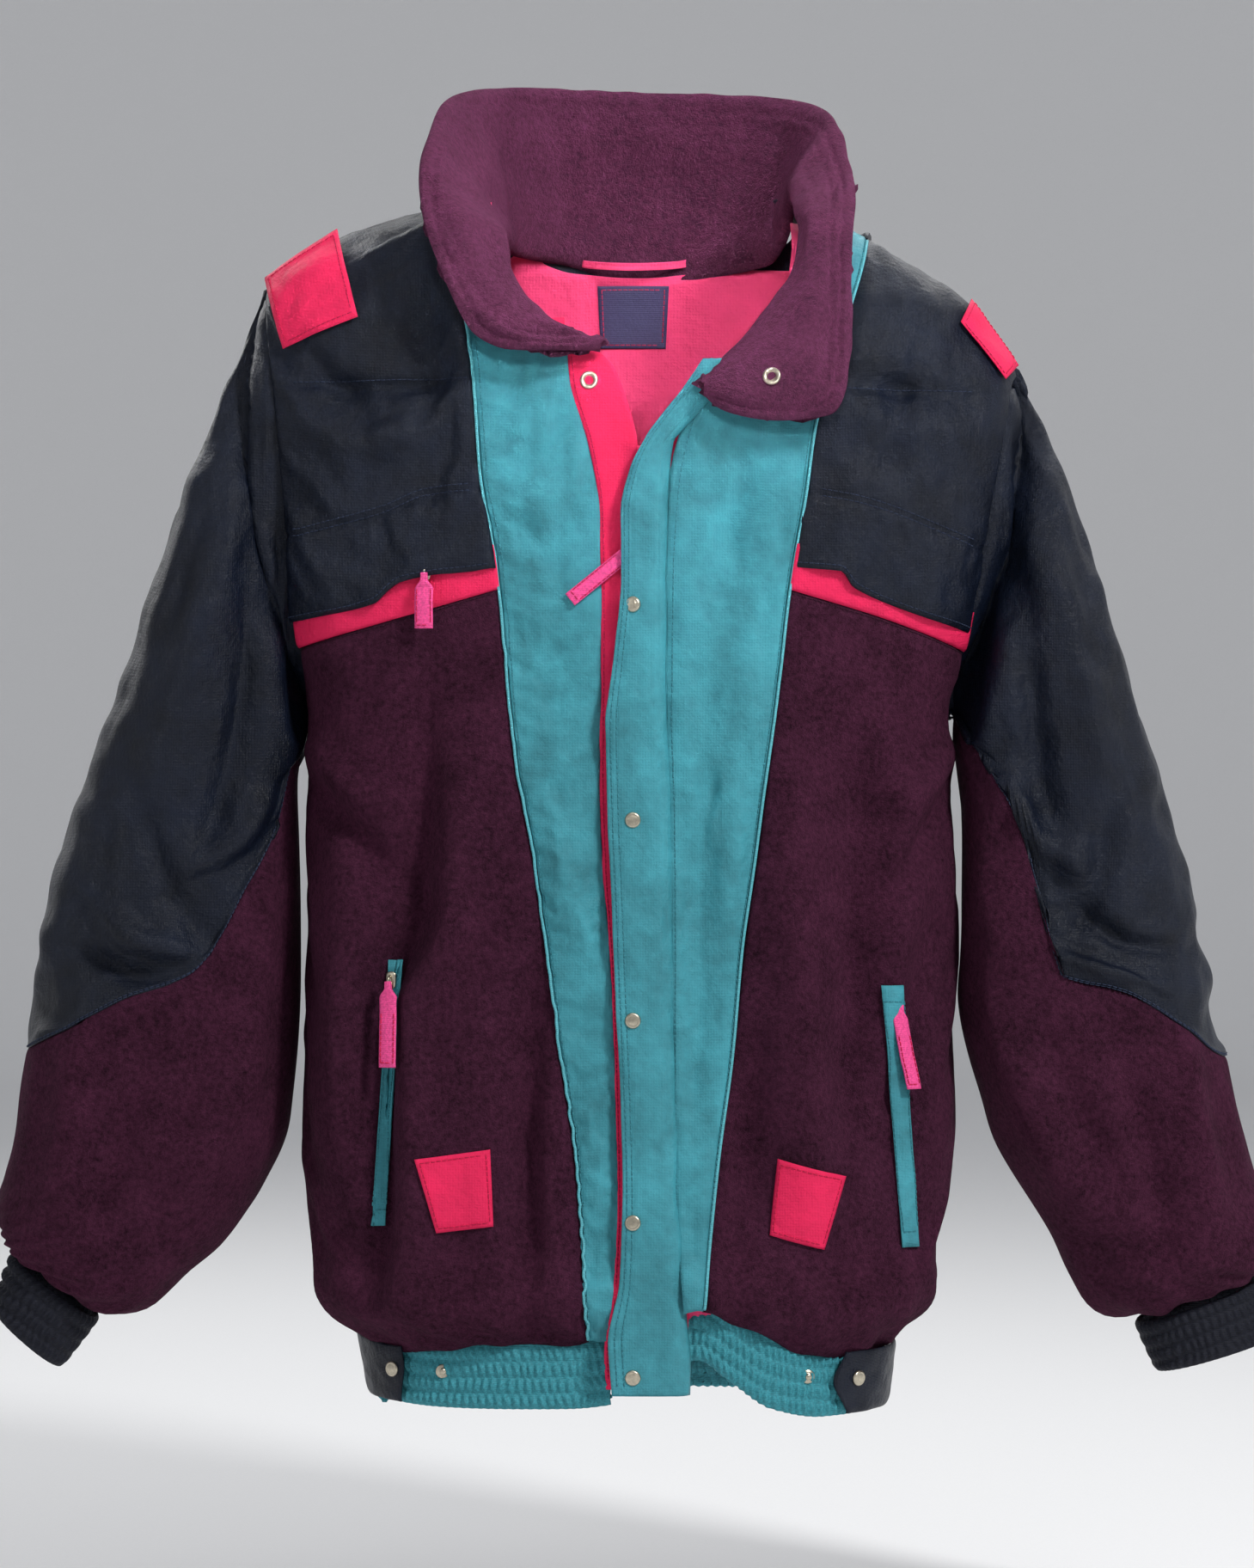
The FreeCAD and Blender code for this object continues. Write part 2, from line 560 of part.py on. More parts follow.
def make_patches():
    layer = torso_layer(-1.2, -0.3)
    for armhole in ARMHOLES:
        layer = layer.cut(armhole)
    outlines = list(SHOULDER_PATCH.values()) + list(HIP_PATCH.values())
    add("patches", *[layer.common(plate(outline, -FAR, SEAM_Y)) for outline in outlines])


make_front_panels()
make_back_and_inside()
make_sleeves()
make_hem()
make_collar()
make_neck_details()
make_main_zip()
make_storm_flap()
make_pockets()
make_patches()
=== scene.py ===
"""The look of a hung ski jacket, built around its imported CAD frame. Shapes are worked out in millimetres."""
import math

import bpy
import numpy as np
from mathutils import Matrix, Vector
from mathutils.bvhtree import BVHTree


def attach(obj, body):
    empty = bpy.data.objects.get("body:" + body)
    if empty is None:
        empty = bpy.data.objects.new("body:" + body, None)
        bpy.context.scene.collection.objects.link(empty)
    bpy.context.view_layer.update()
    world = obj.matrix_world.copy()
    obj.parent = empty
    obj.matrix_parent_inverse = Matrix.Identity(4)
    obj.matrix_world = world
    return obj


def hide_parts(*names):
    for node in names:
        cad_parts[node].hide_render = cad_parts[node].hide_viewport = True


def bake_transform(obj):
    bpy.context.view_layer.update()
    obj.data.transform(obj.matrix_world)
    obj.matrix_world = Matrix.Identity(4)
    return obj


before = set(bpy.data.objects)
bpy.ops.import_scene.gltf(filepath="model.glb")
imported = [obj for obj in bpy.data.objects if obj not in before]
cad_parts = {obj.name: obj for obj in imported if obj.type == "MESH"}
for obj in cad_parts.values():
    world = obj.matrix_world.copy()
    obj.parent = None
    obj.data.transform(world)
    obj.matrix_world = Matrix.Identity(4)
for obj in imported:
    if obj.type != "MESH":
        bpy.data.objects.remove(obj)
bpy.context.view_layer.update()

MM = 0.001
BODY = "jacket_body"
PI = math.pi


# ---------------------------------------------------------------- numbers
def smooth(xs, ys, x):
    """A monotone cubic through knots, flat outside them."""
    xs, ys = np.asarray(xs, float), np.asarray(ys, float)
    if xs[0] > xs[-1]:
        xs, ys = xs[::-1], ys[::-1]
    x = np.clip(np.asarray(x, float), xs[0], xs[-1])
    step = np.diff(xs)
    slope = np.diff(ys) / step
    tangent = np.zeros(len(xs))
    tangent[0], tangent[-1] = slope[0], slope[-1]
    for i in range(1, len(xs) - 1):
        if slope[i - 1] * slope[i] > 0:
            tangent[i] = 2 * slope[i - 1] * slope[i] / (slope[i - 1] + slope[i])
    i = np.clip(np.searchsorted(xs, x) - 1, 0, len(xs) - 2)
    t = (x - xs[i]) / step[i]
    h00, h10 = (1 + 2 * t) * (1 - t) ** 2, t * (1 - t) ** 2
    h01, h11 = t * t * (3 - 2 * t), t * t * (t - 1)
    return h00 * ys[i] + h10 * step[i] * tangent[i] + h01 * ys[i + 1] + h11 * step[i] * tangent[i + 1]


def hashed(ix, iy, iz, seed):
    """A fixed number from 0 to 1 for each grid cell."""
    n = ix * 374761393 + iy * 668265263 + iz * 2246822519 + seed * 3266489917
    n = (n ^ (n >> 13)) * 1274126177
    n = n ^ (n >> 16)
    return (n & 0xFFFFFF) / float(0xFFFFFF)


def bumps(points, size, seed):
    """Smooth noise from -1 to 1 with features of a size, at points in millimetres."""
    p = np.asarray(points, float) / np.asarray(size, float)
    base = np.floor(p)
    f = p - base
    f = f * f * (3 - 2 * f)
    b = base.astype(np.int64) + 4096
    total = 0
    for dx in (0, 1):
        for dy in (0, 1):
            for dz in (0, 1):
                weight = np.abs(1 - dx - f[..., 0]) * np.abs(1 - dy - f[..., 1]) * np.abs(1 - dz - f[..., 2])
                total = total + weight * hashed(b[..., 0] + dx, b[..., 1] + dy, b[..., 2] + dz, seed)
    return total * 2 - 1


def unit(v):
    return v / np.maximum(np.linalg.norm(v, axis=-1, keepdims=True), 1e-9)


def fade(d, width):
    """1 at a distance of 0, which falls away over a width."""
    return np.exp(-np.maximum(d, 0) / width)


def bell(d, width):
    """A bump of height 1 around 0."""
    return np.exp(-(d / width) ** 2)


def ramp(x, lo, hi):
    """Rises smoothly from 0 at lo to 1 at hi."""
    t = np.clip((x - lo) / (hi - lo), 0, 1)
    return t * t * (3 - 2 * t)


# ---------------------------------------------------------------- the torso's base form
# Height, half-width on the wearer's right and left, front and back.
TORSO = np.array([
    (-715, 158, 152, -161, 15),
    (-668, 166, 158, -163, 18),
    (-640, 184, 175, -167, 26),
    (-600, 196, 186, -168, 31),
    (-556, 202, 193, -168, 33),
    (-510, 204, 197, -168, 34),
    (-440, 203, 197, -168, 34),
    (-340, 201, 194, -168, 34),
    (-290, 200, 192, -168, 34),
    (-235, 215, 209, -168, 34),
    (-165, 233, 233, -168, 34),
    (-100, 238, 239, -165, 32),
    (-45, 233, 217, -154, 26),
    (-18, 224, 186, -144, 20),
    (10, 181, 139, -134, 13),
    (38, 92, 92, -120, 3),
], float)
SUPER = 2.6
SEAM_Y = -67.0
ARMPIT_Z = -286.0
HEM_TOP_Z = -661.0
ARMHOLE = {-1: (-227.6, -20.0, -200.6, -285.0), 1: (236.6, -70.0, 193.6, -285.0)}


def torso(col, z):
    return smooth(TORSO[:, 0], TORSO[:, col], z)


def half_width(side, z):
    return torso(1, z) if side < 0 else torso(2, z)


def body_point(theta, z, inset=0.0):
    """A point of the torso: theta 0 is the wearer's left, -pi/2 the front, pi/2 the back."""
    c, s = np.cos(theta), np.sin(theta)
    half = np.where(c >= 0, torso(2, z), torso(1, z)) - inset
    front, back = torso(3, z), torso(4, z)
    x = half * np.abs(c) ** (2 / SUPER) * np.sign(c)
    y = (front + back) / 2 + ((back - front) / 2 - inset) * np.abs(s) ** (2 / SUPER) * np.sign(s)
    return np.stack([x, y, z + 0 * x], axis=-1)


def theta_at(x, z, back=False):
    """The angle of the front or back point at x, clamped to the side."""
    x = np.asarray(x, float)
    half = np.where(x >= 0, torso(2, z), torso(1, z))
    c = np.clip(np.abs(x) / half, 0, 1) ** (SUPER / 2) * np.sign(x)
    angle = np.arccos(np.clip(c, -1, 1))
    return angle if back else -angle


def armhole_x(side, z):
    """The armhole line's x, or the side's where the torso is narrower."""
    x0, z0, x1, z1 = ARMHOLE[side]
    line = x1 + (x0 - x1) * (z - z1) / (z0 - z1)
    half = half_width(side, z)
    return np.where(z < ARMPIT_Z, side * half, side * np.minimum(np.abs(line), half))


# ---------------------------------------------------------------- seam lines in the front view, as x and z
TEAL_OUTER = {
    -1: [(-113, 40), (-110, 0), (-97, -78), (-91, -146), (-82, -198), (-77, -250), (-69, -322), (-59, -374),
         (-51, -442), (-41, -504), (-34, -556), (-30, -619), (-27, -668)],
    1: [(146, 60), (143, 10), (128, -47), (108, -114), (102, -156), (95, -198), (87, -260), (76, -333),
        (71, -374), (64, -426), (58, -494), (50, -551), (44, -608), (38, -668)],
}
TEAL_INNER_R = [(-44, 40), (-38, -88), (-27, -125), (-20, -166), (-19, -218), (-20, -320), (-18, -380),
                (-14, -430), (-11, -500), (-9, -580), (-12, -634), (-17, -668), (-15, -700)]
NECK = {-1: [(-104, 60), (-98, 10), (-88, -12), (-70, -34), (-50, -56), (-24, -68), (-10, -84), (3, -140),
             (3, -720)],
        1: [(112, 60), (110, 4), (104, -22), (92, -46), (74, -66), (54, -82), (40, -96), (29, -112),
            (20, -150),
            (17, -200), (17, -720)]}
FLAP_LINE = {-1: [(-202, -179), (-150, -166), (-124, -156), (-90, -153)],
             1: [(102, -155), (136, -161), (209, -187)]}
FREE_EDGE = {-1: [(-210, -231), (-155, -221), (-139, -208), (-85, -200)],
             1: [(92, -199), (123, -201), (131, -211), (205, -238)]}
TRIM_LOW = {-1: [(-210, -247), (-150, -231), (-82, -212)], 1: [(90, -211), (157, -231), (205, -249)]}
FLAP_EDGE = [(42, -74), (27, -96), (16, -110), (6, -124), (-3, -142), (-8, -166), (-8, -208), (-12, -250),
             (-17, -296), (-16, -348),
             (-13.5, -400), (-11.4, -452), (-8, -525), (-7, -572), (-9, -624), (-15.6, -660), (-13.5, -692)]


def line_x(points, z):
    """The x of a seam line at heights z."""
    pts = np.array(points, float)
    return smooth(pts[:, 1], pts[:, 0], z)


def line_z(points, x):
    """The height of a seam line at x."""
    pts = np.array(points, float)
    return smooth(pts[:, 0], pts[:, 1], x)


def hem_top(x, back=False):
    if back:
        return -664 + 0 * x
    return smooth([-170, -140, -70, -20, 38, 60, 85, 120, 160],
                  [-664, -668, -661, -661, -641, -648, -661, -671, -670], x)


def hem_low(x, back=False):
    if back:
        return -709 + 0 * x
    return smooth([-170, -120, -40, -12, 38, 58, 84, 115, 160],
                  [-701, -703, -702, -699, -673, -686, -703, -709, -708], x)


# ---------------------------------------------------------------- folds
def crease(x, z, points, width, height):
    """A ridge, or a valley where height is negative, along a line that fades at its ends."""
    pts = np.array(points, float)
    best = np.full(np.shape(x), 1e9)
    along = np.zeros(np.shape(x))
    lengths = np.hypot(*np.diff(pts, axis=0).T)
    start = 0.0
    for (a, b), length in zip(zip(pts, pts[1:]), lengths):
        t = np.clip(((x - a[0]) * (b[0] - a[0]) + (z - a[1]) * (b[1] - a[1])) / length ** 2, 0, 1)
        d = np.hypot(x - a[0] - t * (b[0] - a[0]), z - a[1] - t * (b[1] - a[1]))
        closer = d < best
        best = np.where(closer, d, best)
        along = np.where(closer, (start + t * length) / lengths.sum(), along)
        start += length
    return height * bell(best, width) * np.sin(PI * np.clip(along, 0.02, 0.98)) ** 0.6


BODY_FOLD_SCALE = 1.55
# Each fold's line as x, z points, its width, and its height, which is negative in a valley.
BODY_FOLDS = [
    ([(-124, -250), (-132, -400), (-150, -450), (-153, -530), (-150, -650)], 10, -10),
    ([(-100, -300), (-112, -416), (-131, -460), (-131, -530), (-129, -650)], 11, 6),
    ([(-95, -300), (-100, -430), (-106, -560), (-104, -650)], 20, 4),
    ([(-165, -330), (-172, -450), (-176, -580)], 16, 7),
    ([(-58, -400), (-66, -540), (-64, -655)], 9, -7),
    ([(-44, -440), (-50, -560), (-48, -650)], 8, 3),
    ([(-85, -480), (-88, -580), (-84, -655)], 14, 5),
    ([(84, -260), (96, -380), (100, -500), (96, -620)], 20, 8),
    ([(72, -470), (66, -560), (62, -630)], 12, -7),
    ([(134, -280), (136, -400), (128, -520), (120, -640)], 15, -9),
    ([(160, -300), (158, -420), (150, -520)], 18, 7),
    ([(172, -400), (160, -500), (146, -610)], 12, -6),
    ([(-200, -300), (-170, -330), (-140, -340)], 11, 5),
    ([(-195, -320), (-160, -365), (-130, -400)], 10, -5),
    ([(196, -300), (172, -330), (140, -340)], 11, 5),
    ([(190, -330), (160, -380), (130, -410)], 10, -5),
    ([(-205, -82), (-150, -88), (-108, -84)], 7, -4),
    ([(206, -98), (160, -90), (112, -82)], 7, -4),
    ([(-200, -110), (-160, -120), (-110, -112)], 12, 4),
    ([(205, -120), (160, -115), (115, -108)], 12, 4),
    ([(-120, 10), (-128, -50), (-126, -120)], 12, -5),
    ([(-200, -60), (-170, -100), (-150, -150)], 10, -4),
    ([(180, -60), (160, -100), (150, -150)], 10, -4),
    ([(-60, -150), (-45, -180), (-30, -190)], 9, 4),
    ([(-70, -230), (-45, -250), (-25, -290)], 10, -3),
    ([(-55, -330), (-38, -390), (-25, -450)], 9, 3.5),
    ([(80, -130), (60, -170), (40, -220)], 12, -5),
    ([(66, -240), (58, -330), (52, -420)], 11, 5),
    ([(45, -300), (40, -420), (38, -540)], 9, -4),
]


def body_fold(p, back):
    """How far the torso's cloth stands off its base form at points of it."""
    x, z = p[..., 0], p[..., 2]
    total = 3.0 * bumps(p, (40, 60, 120), 3) + 1.6 * bumps(p, (20, 40, 55), 4)
    if back:
        total = total + 1.6 * bumps(p, (60, 60, 260), 5)
        for line in ([(-120, -280), (-100, -450), (-110, -640)], [(60, -300), (80, -460), (70, -650)],
                     [(-20, -340), (-10, -480), (-24, -650)]):
            total = total + crease(x, z, line, 18, 7)
        for line in ([(-70, -300), (-56, -460), (-64, -650)], [(120, -300), (126, -460), (116, -640)],
                     [(-170, -60), (-60, -90), (60, -90), (170, -70)]):
            total = total + crease(x, z, line, 13, -6)
    else:
        for line, width, height in BODY_FOLDS:
            total = total + BODY_FOLD_SCALE * crease(x, z, line, width, height)
    from_seam = p[..., 1] - SEAM_Y if back else SEAM_Y - p[..., 1]
    total = total * ramp(from_seam, -40, 30)
    blouse = 9 * bell(z - HEM_TOP_Z - 26, 20)
    return total + blouse


# ---------------------------------------------------------------- sheets of cloth
def grid_normals(grid, flip):
    du = np.gradient(grid, axis=0)
    dv = np.gradient(grid, axis=1)
    n = unit(np.cross(du, dv))
    return -n if flip else n


def spans(grid):
    """Distances in millimetres of each grid point from the four borders: u low, u high, v low, v high."""
    du = np.linalg.norm(np.diff(grid, axis=0), axis=-1)
    dv = np.linalg.norm(np.diff(grid, axis=1), axis=-1)
    zero_u, zero_v = np.zeros((1, grid.shape[1])), np.zeros((grid.shape[0], 1))
    from_u = np.vstack([zero_u, np.cumsum(du, axis=0)])
    from_v = np.hstack([zero_v, np.cumsum(dv, axis=1)])
    return from_u, from_u[-1:] - from_u, from_v, from_v[:, -1:] - from_v


def sheet_faces(nu, nv, ring):
    i, j = np.meshgrid(np.arange(nu if ring else nu - 1), np.arange(nv - 1), indexing="ij")
    k = (i + 1) % nu
    return np.stack([i * nv + j, k * nv + j, k * nv + j + 1, i * nv + j + 1], axis=-1).reshape(-1, 4)


def new_mesh(name, verts, faces):
    mesh = bpy.data.meshes.new(name)
    mesh.from_pydata((np.asarray(verts) * MM).tolist(), [], [list(map(int, f)) for f in faces])
    mesh.validate()
    mesh.polygons.foreach_set("use_smooth", [True] * len(mesh.polygons))
    mesh.update()
    obj = bpy.data.objects.new(name, mesh)
    bpy.context.scene.collection.objects.link(obj)
    return obj


SETTLE_FRAMES = 11
SETTLE_GRAVITY = 0.15
SETTLE_QUALITY = 5
STRETCH_STIFFNESS = 20
SHEAR_STIFFNESS = 8
STRETCH_DAMPING = 25
AIR_DAMPING = 4


def settle(grid, pinned, grow, pressure, cap=7.0, ring=False, bend=0.6, ease=2):
    """Runs a cloth simulation on a sheet that is held at its pinned points, and gives the sheet's new points.

    No point moves further than cap, in millimetres, and the movement is evened out ease times.
    """
    nu, nv = grid.shape[:2]
    obj = new_mesh("settling", grid.reshape(-1, 3), sheet_faces(nu, nv, ring))
    group = obj.vertex_groups.new(name="held")
    group.add(np.nonzero(pinned.reshape(-1))[0].tolist(), 1.0, "REPLACE")
    cloth = obj.modifiers.new("cloth", "CLOTH")
    cloth.settings.quality = SETTLE_QUALITY
    cloth.settings.mass = 0.15
    cloth.settings.tension_stiffness = STRETCH_STIFFNESS
    cloth.settings.compression_stiffness = STRETCH_STIFFNESS
    cloth.settings.shear_stiffness = SHEAR_STIFFNESS
    cloth.settings.bending_stiffness = bend
    cloth.settings.tension_damping = STRETCH_DAMPING
    cloth.settings.compression_damping = STRETCH_DAMPING
    cloth.settings.air_damping = AIR_DAMPING
    cloth.settings.vertex_group_mass = "held"
    cloth.settings.shrink_min = -grow
    cloth.settings.use_pressure = pressure != 0
    cloth.settings.uniform_pressure_force = pressure
    cloth.settings.effector_weights.gravity = SETTLE_GRAVITY
    cloth.collision_settings.use_collision = False
    cloth.point_cache.frame_start = 1
    cloth.point_cache.frame_end = SETTLE_FRAMES
    for step in range(1, SETTLE_FRAMES + 1):
        bpy.context.scene.frame_set(step)
    seen = obj.evaluated_get(bpy.context.evaluated_depsgraph_get())
    out = np.empty(len(seen.data.vertices) * 3)
    seen.data.vertices.foreach_get("co", out)
    bpy.data.objects.remove(obj, do_unlink=True)
    bpy.context.scene.frame_set(1)
    moved = out.reshape(grid.shape) / MM - grid
    far = np.linalg.norm(moved, axis=-1, keepdims=True)
    moved = moved * np.minimum(1, cap / np.maximum(far, 1e-6))
    return grid + soften(moved, ease, ring)


def soften(grid, times, ring=False):
    """Evens out a field over a sheet's inner points, and leaves its borders."""
    for _ in range(times):
        if ring:
            wide = np.concatenate([grid[-1:], grid, grid[:1]])
            around = (wide[:-2, 1:-1] + wide[2:, 1:-1] + grid[:, :-2] + grid[:, 2:]) / 4
            grid = np.concatenate([grid[:, :1], grid[:, 1:-1] * 0.4 + around * 0.6, grid[:, -1:]], axis=1)
        else:
            around = (grid[:-2, 1:-1] + grid[2:, 1:-1] + grid[1:-1, :-2] + grid[1:-1, 2:]) / 4
            grid = grid.copy()
            grid[1:-1, 1:-1] = grid[1:-1, 1:-1] * 0.4 + around * 0.6
    return grid


class Cloth:
    """A sheet of cloth as a grid of points, with its outward normals."""

    def __init__(self, name, grid, flip=False, ring=False):
        self.name, self.grid, self.flip, self.ring = name, grid, flip, ring
        self.obj = None
        du, dv = np.gradient(grid, axis=0), np.gradient(grid, axis=1)
        whole = np.linalg.norm(np.cross(du, dv), axis=-1)
        nu, nv = whole.shape
        d = spans(grid)
        self.cut = (d[0].max(), d[2].max(), whole.mean() * (nu - 1) * (nv - 1))

    def declare_sheet(self, held, rests_on, gather=1.0):
        width, length, area = self.cut
        area = min(area, width * length)

    def normals(self):
        if self.ring:
            wrapped = np.concatenate([self.grid[-2:-1], self.grid, self.grid[1:2]])
            return grid_normals(wrapped, self.flip)[1:-1]
        return grid_normals(self.grid, self.flip)

    def push(self, amount):
        self.grid = self.grid + self.normals() * amount[..., None]
        return self

    def at(self, u, v):
        """Points and normals at grid fractions."""
        nu, nv = self.grid.shape[:2]
        u, v = np.clip(np.asarray(u, float), 0, 1) * (nu - 1), np.clip(np.asarray(v, float), 0, 1) * (nv - 1)
        i, j = np.minimum(u.astype(int), nu - 2), np.minimum(v.astype(int), nv - 2)
        a, b = (u - i)[..., None], (v - j)[..., None]
        normal = self.normals()

        def mix(g):
            return (g[i, j] * (1 - a) * (1 - b) + g[i + 1, j] * a * (1 - b) + g[i, j + 1] * (1 - a) * b
                    + g[i + 1, j + 1] * a * b)
        return mix(self.grid), unit(mix(normal))

    def solid(self, thickness, body=BODY, replaces=(), material=None, edge=0.8, width=1.6):
        """Builds the sheet's closed mesh, thinner at its borders so that they look turned in."""
        nu, nv = self.grid.shape[:2]
        d = spans(self.grid)
        near = np.minimum.reduce(d[2:] if self.ring else d)
        thick = thickness * (1 - edge * fade(near, width) * 0.5)
        n = self.normals()
        outer = self.grid - n * ((thickness - thick) / 2)[..., None]
        inner = self.grid - n * ((thickness + thick) / 2)[..., None]
        if self.ring:
            outer, inner = outer[:-1], inner[:-1]
            nu -= 1
        faces = sheet_faces(nu, nv, self.ring)
        if self.flip:
            faces = faces[:, ::-1]
        count = nu * nv
        back = faces[:, ::-1] + count
        rim = []
        index = np.arange(count).reshape(nu, nv)
        if self.ring:
            loops = [np.append(index[:, 0], index[0, 0]), np.append(index[:, -1], index[0, -1])[::-1]]
        else:
            loops = [index[:, 0], index[:, -1][::-1], index[0, ::-1], index[-1, :]]
        for loop in loops:
            for a, b in zip(loop, loop[1:]):
                rim.append([b, a, a + count, b + count] if not self.flip else [a, b, b + count, a + count])
        verts = np.concatenate([outer.reshape(-1, 3), inner.reshape(-1, 3)])
        self.obj = new_mesh(self.name, verts, np.concatenate([faces, back, np.array(rim)]))
        if material:
            self.obj.data.materials.append(material)
        if body:
            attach(self.obj, body)
        if replaces:
            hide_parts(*replaces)
        return self.obj


def front_panel(name, left, right, low, high, nu, nv, inset=0.0, back=False, folds=1.0):
    """A torso panel between two x curves of z and two z curves of x. left is the wearer's right border."""
    u, v = np.linspace(0, 1, nu)[:, None], np.linspace(0, 1, nv)[None, :]

    def x_at(z):
        a, b = theta_at(left(z), z, back), theta_at(right(z), z, back)
        return a + (b - a) * u

    z0, z1 = np.full((nu, 1), -500.0), np.full((nu, 1), -100.0)
    for _ in range(6):
        z0 = low(body_point(x_at(z0), z0)[..., 0])
        z1 = high(body_point(x_at(z1), z1)[..., 0])
    z = z0 + (z1 - z0) * v
    theta = theta_at(left(z), z, back)
    theta = theta + (theta_at(right(z), z, back) - theta) * u
    cloth = Cloth(name, body_point(theta, z, inset), flip=back)
    if folds:
        cloth.push(folds * body_fold(cloth.grid, back))
    return cloth


# ---------------------------------------------------------------- materials
def node_material(name, dark, light, roughness, pattern, sheen=0.0, metallic=0.0, specular=0.5):
    """A material whose colour varies between two tones, with a bump pattern given as a function of nodes."""
    material = bpy.data.materials.new(name)
    material.use_nodes = True
    nodes, links = material.node_tree.nodes, material.node_tree.links
    shader = nodes["Principled BSDF"]
    shader.inputs["Roughness"].default_value = roughness
    shader.inputs["Metallic"].default_value = metallic
    shader.inputs["Specular IOR Level"].default_value = specular
    if sheen:
        shader.inputs["Sheen Weight"].default_value = sheen
        shader.inputs["Sheen Roughness"].default_value = 0.5
        shader.inputs["Sheen Tint"].default_value = (*[min(1, c * 5) for c in light], 1)
    place = nodes.new("ShaderNodeTexCoord").outputs["Object"]
    colour = nodes.new("ShaderNodeValToRGB")
    colour.color_ramp.elements[0].color = (*dark, 1)
    colour.color_ramp.elements[1].color = (*light, 1)
    colour.color_ramp.elements[0].position = 0.36
    colour.color_ramp.elements[1].position = 0.66
    tone_and_shade, height, strength, distance = pattern(nodes, links, place)
    links.new(tone_and_shade, colour.inputs["Fac"])
    links.new(colour.outputs["Color"], shader.inputs["Base Color"])
    bump = nodes.new("ShaderNodeBump")
    bump.inputs["Strength"].default_value = strength
    bump.inputs["Distance"].default_value = distance
    links.new(height, bump.inputs["Height"])
    links.new(bump.outputs["Normal"], shader.inputs["Normal"])
    return material


def noise_node(nodes, links, place, scale, detail, rough=0.5):
    noise = nodes.new("ShaderNodeTexNoise")
    noise.inputs["Scale"].default_value = scale
    noise.inputs["Detail"].default_value = detail
    noise.inputs["Roughness"].default_value = rough
    links.new(place, noise.inputs["Vector"])
    return noise.outputs["Fac"]


def wave_node(nodes, links, place, scale, direction):
    wave = nodes.new("ShaderNodeTexWave")
    wave.wave_type = "BANDS"
    wave.bands_direction = direction
    wave.inputs["Scale"].default_value = scale
    wave.inputs["Distortion"].default_value = 0.6
    wave.inputs["Detail"].default_value = 1
    wave.inputs["Detail Scale"].default_value = 2
    links.new(place, wave.inputs["Vector"])
    return wave.outputs["Fac"]


def math_node(nodes, links, kind, a, b):
    node = nodes.new("ShaderNodeMath")
    node.operation = kind
    for socket, value in zip(node.inputs, (a, b)):
        if isinstance(value, (int, float)):
            socket.default_value = value
        else:
            links.new(value, socket)
    return node.outputs[0]


def fleece_pattern(nodes, links, place):
    """Short pile that clumps into small tufts. Its colour is darker in the hollows between the tufts and
    lighter on their tops, which is painted shade, and it also varies at random over larger areas.
    """
    fine = noise_node(nodes, links, place, 1100, 3, 0.7)
    clump = noise_node(nodes, links, place, 300, 3, 0.65)
    large = noise_node(nodes, links, place, 34, 4, 0.6)
    pile = math_node(nodes, links, "ADD", math_node(nodes, links, "MULTIPLY", fine, 0.4),
                     math_node(nodes, links, "MULTIPLY", clump, 0.6))
    # The colour follows the pile's height: darker in the hollows between tufts, which is painted shade, mixed
    # with tone that varies at random over larger areas.
    tone_and_shade = math_node(nodes, links, "ADD", math_node(nodes, links, "MULTIPLY", pile, 0.72),
                     math_node(nodes, links, "MULTIPLY", large, 0.28))
    return tone_and_shade, pile, 1.0, 0.0042


def woven_pattern(nodes, links, place):
    """A plain weave with fine crumple. Its colour is darker in the crumple's dips and lighter on its raised
    parts, which is painted shade, and it also varies at random over larger areas.
    """
    across = wave_node(nodes, links, place, 420, "X")
    upright = wave_node(nodes, links, place, 420, "Z")
    weave = math_node(nodes, links, "MULTIPLY", across, upright)
    crumple = noise_node(nodes, links, place, 85, 5, 0.62)
    large = noise_node(nodes, links, place, 22, 4, 0.6)
    height = math_node(nodes, links, "ADD", math_node(nodes, links, "MULTIPLY", weave, 0.10), crumple)
    # The colour follows the crumple's height: darker in its dips, which is painted shade, mixed with tone that
    # varies at random over larger areas.
    tone_and_shade = math_node(nodes, links, "ADD", math_node(nodes, links, "MULTIPLY", crumple, 0.35),
                     math_node(nodes, links, "MULTIPLY", large, 0.65))
    return tone_and_shade, height, 0.85, 0.0034


def rib_pattern(nodes, links, place):
    """Coarse thread for tapes, elastic and piping."""
    fine = noise_node(nodes, links, place, 700, 3, 0.6)
    ribs = wave_node(nodes, links, place, 260, "Z")
    height = math_node(nodes, links, "ADD", math_node(nodes, links, "MULTIPLY", ribs, 0.5), fine)
    return fine, height, 0.5, 0.0006


def metal_pattern(nodes, links, place):
    """Fine scuffs."""
    scuff = noise_node(nodes, links, place, 520, 4, 0.7)
    return scuff, scuff, 0.15, 0.0003


def two_tone(colour, spread):
    """The colour made darker and lighter by a share of itself."""
    return tuple(c * (1 - spread) for c in colour), tuple(min(1, c * (1 + spread)) for c in colour)


FLEECE = node_material("fleece", *two_tone((0.050, 0.0120, 0.029), 0.75), 0.95, fleece_pattern, sheen=0.10,
                       specular=0.08)
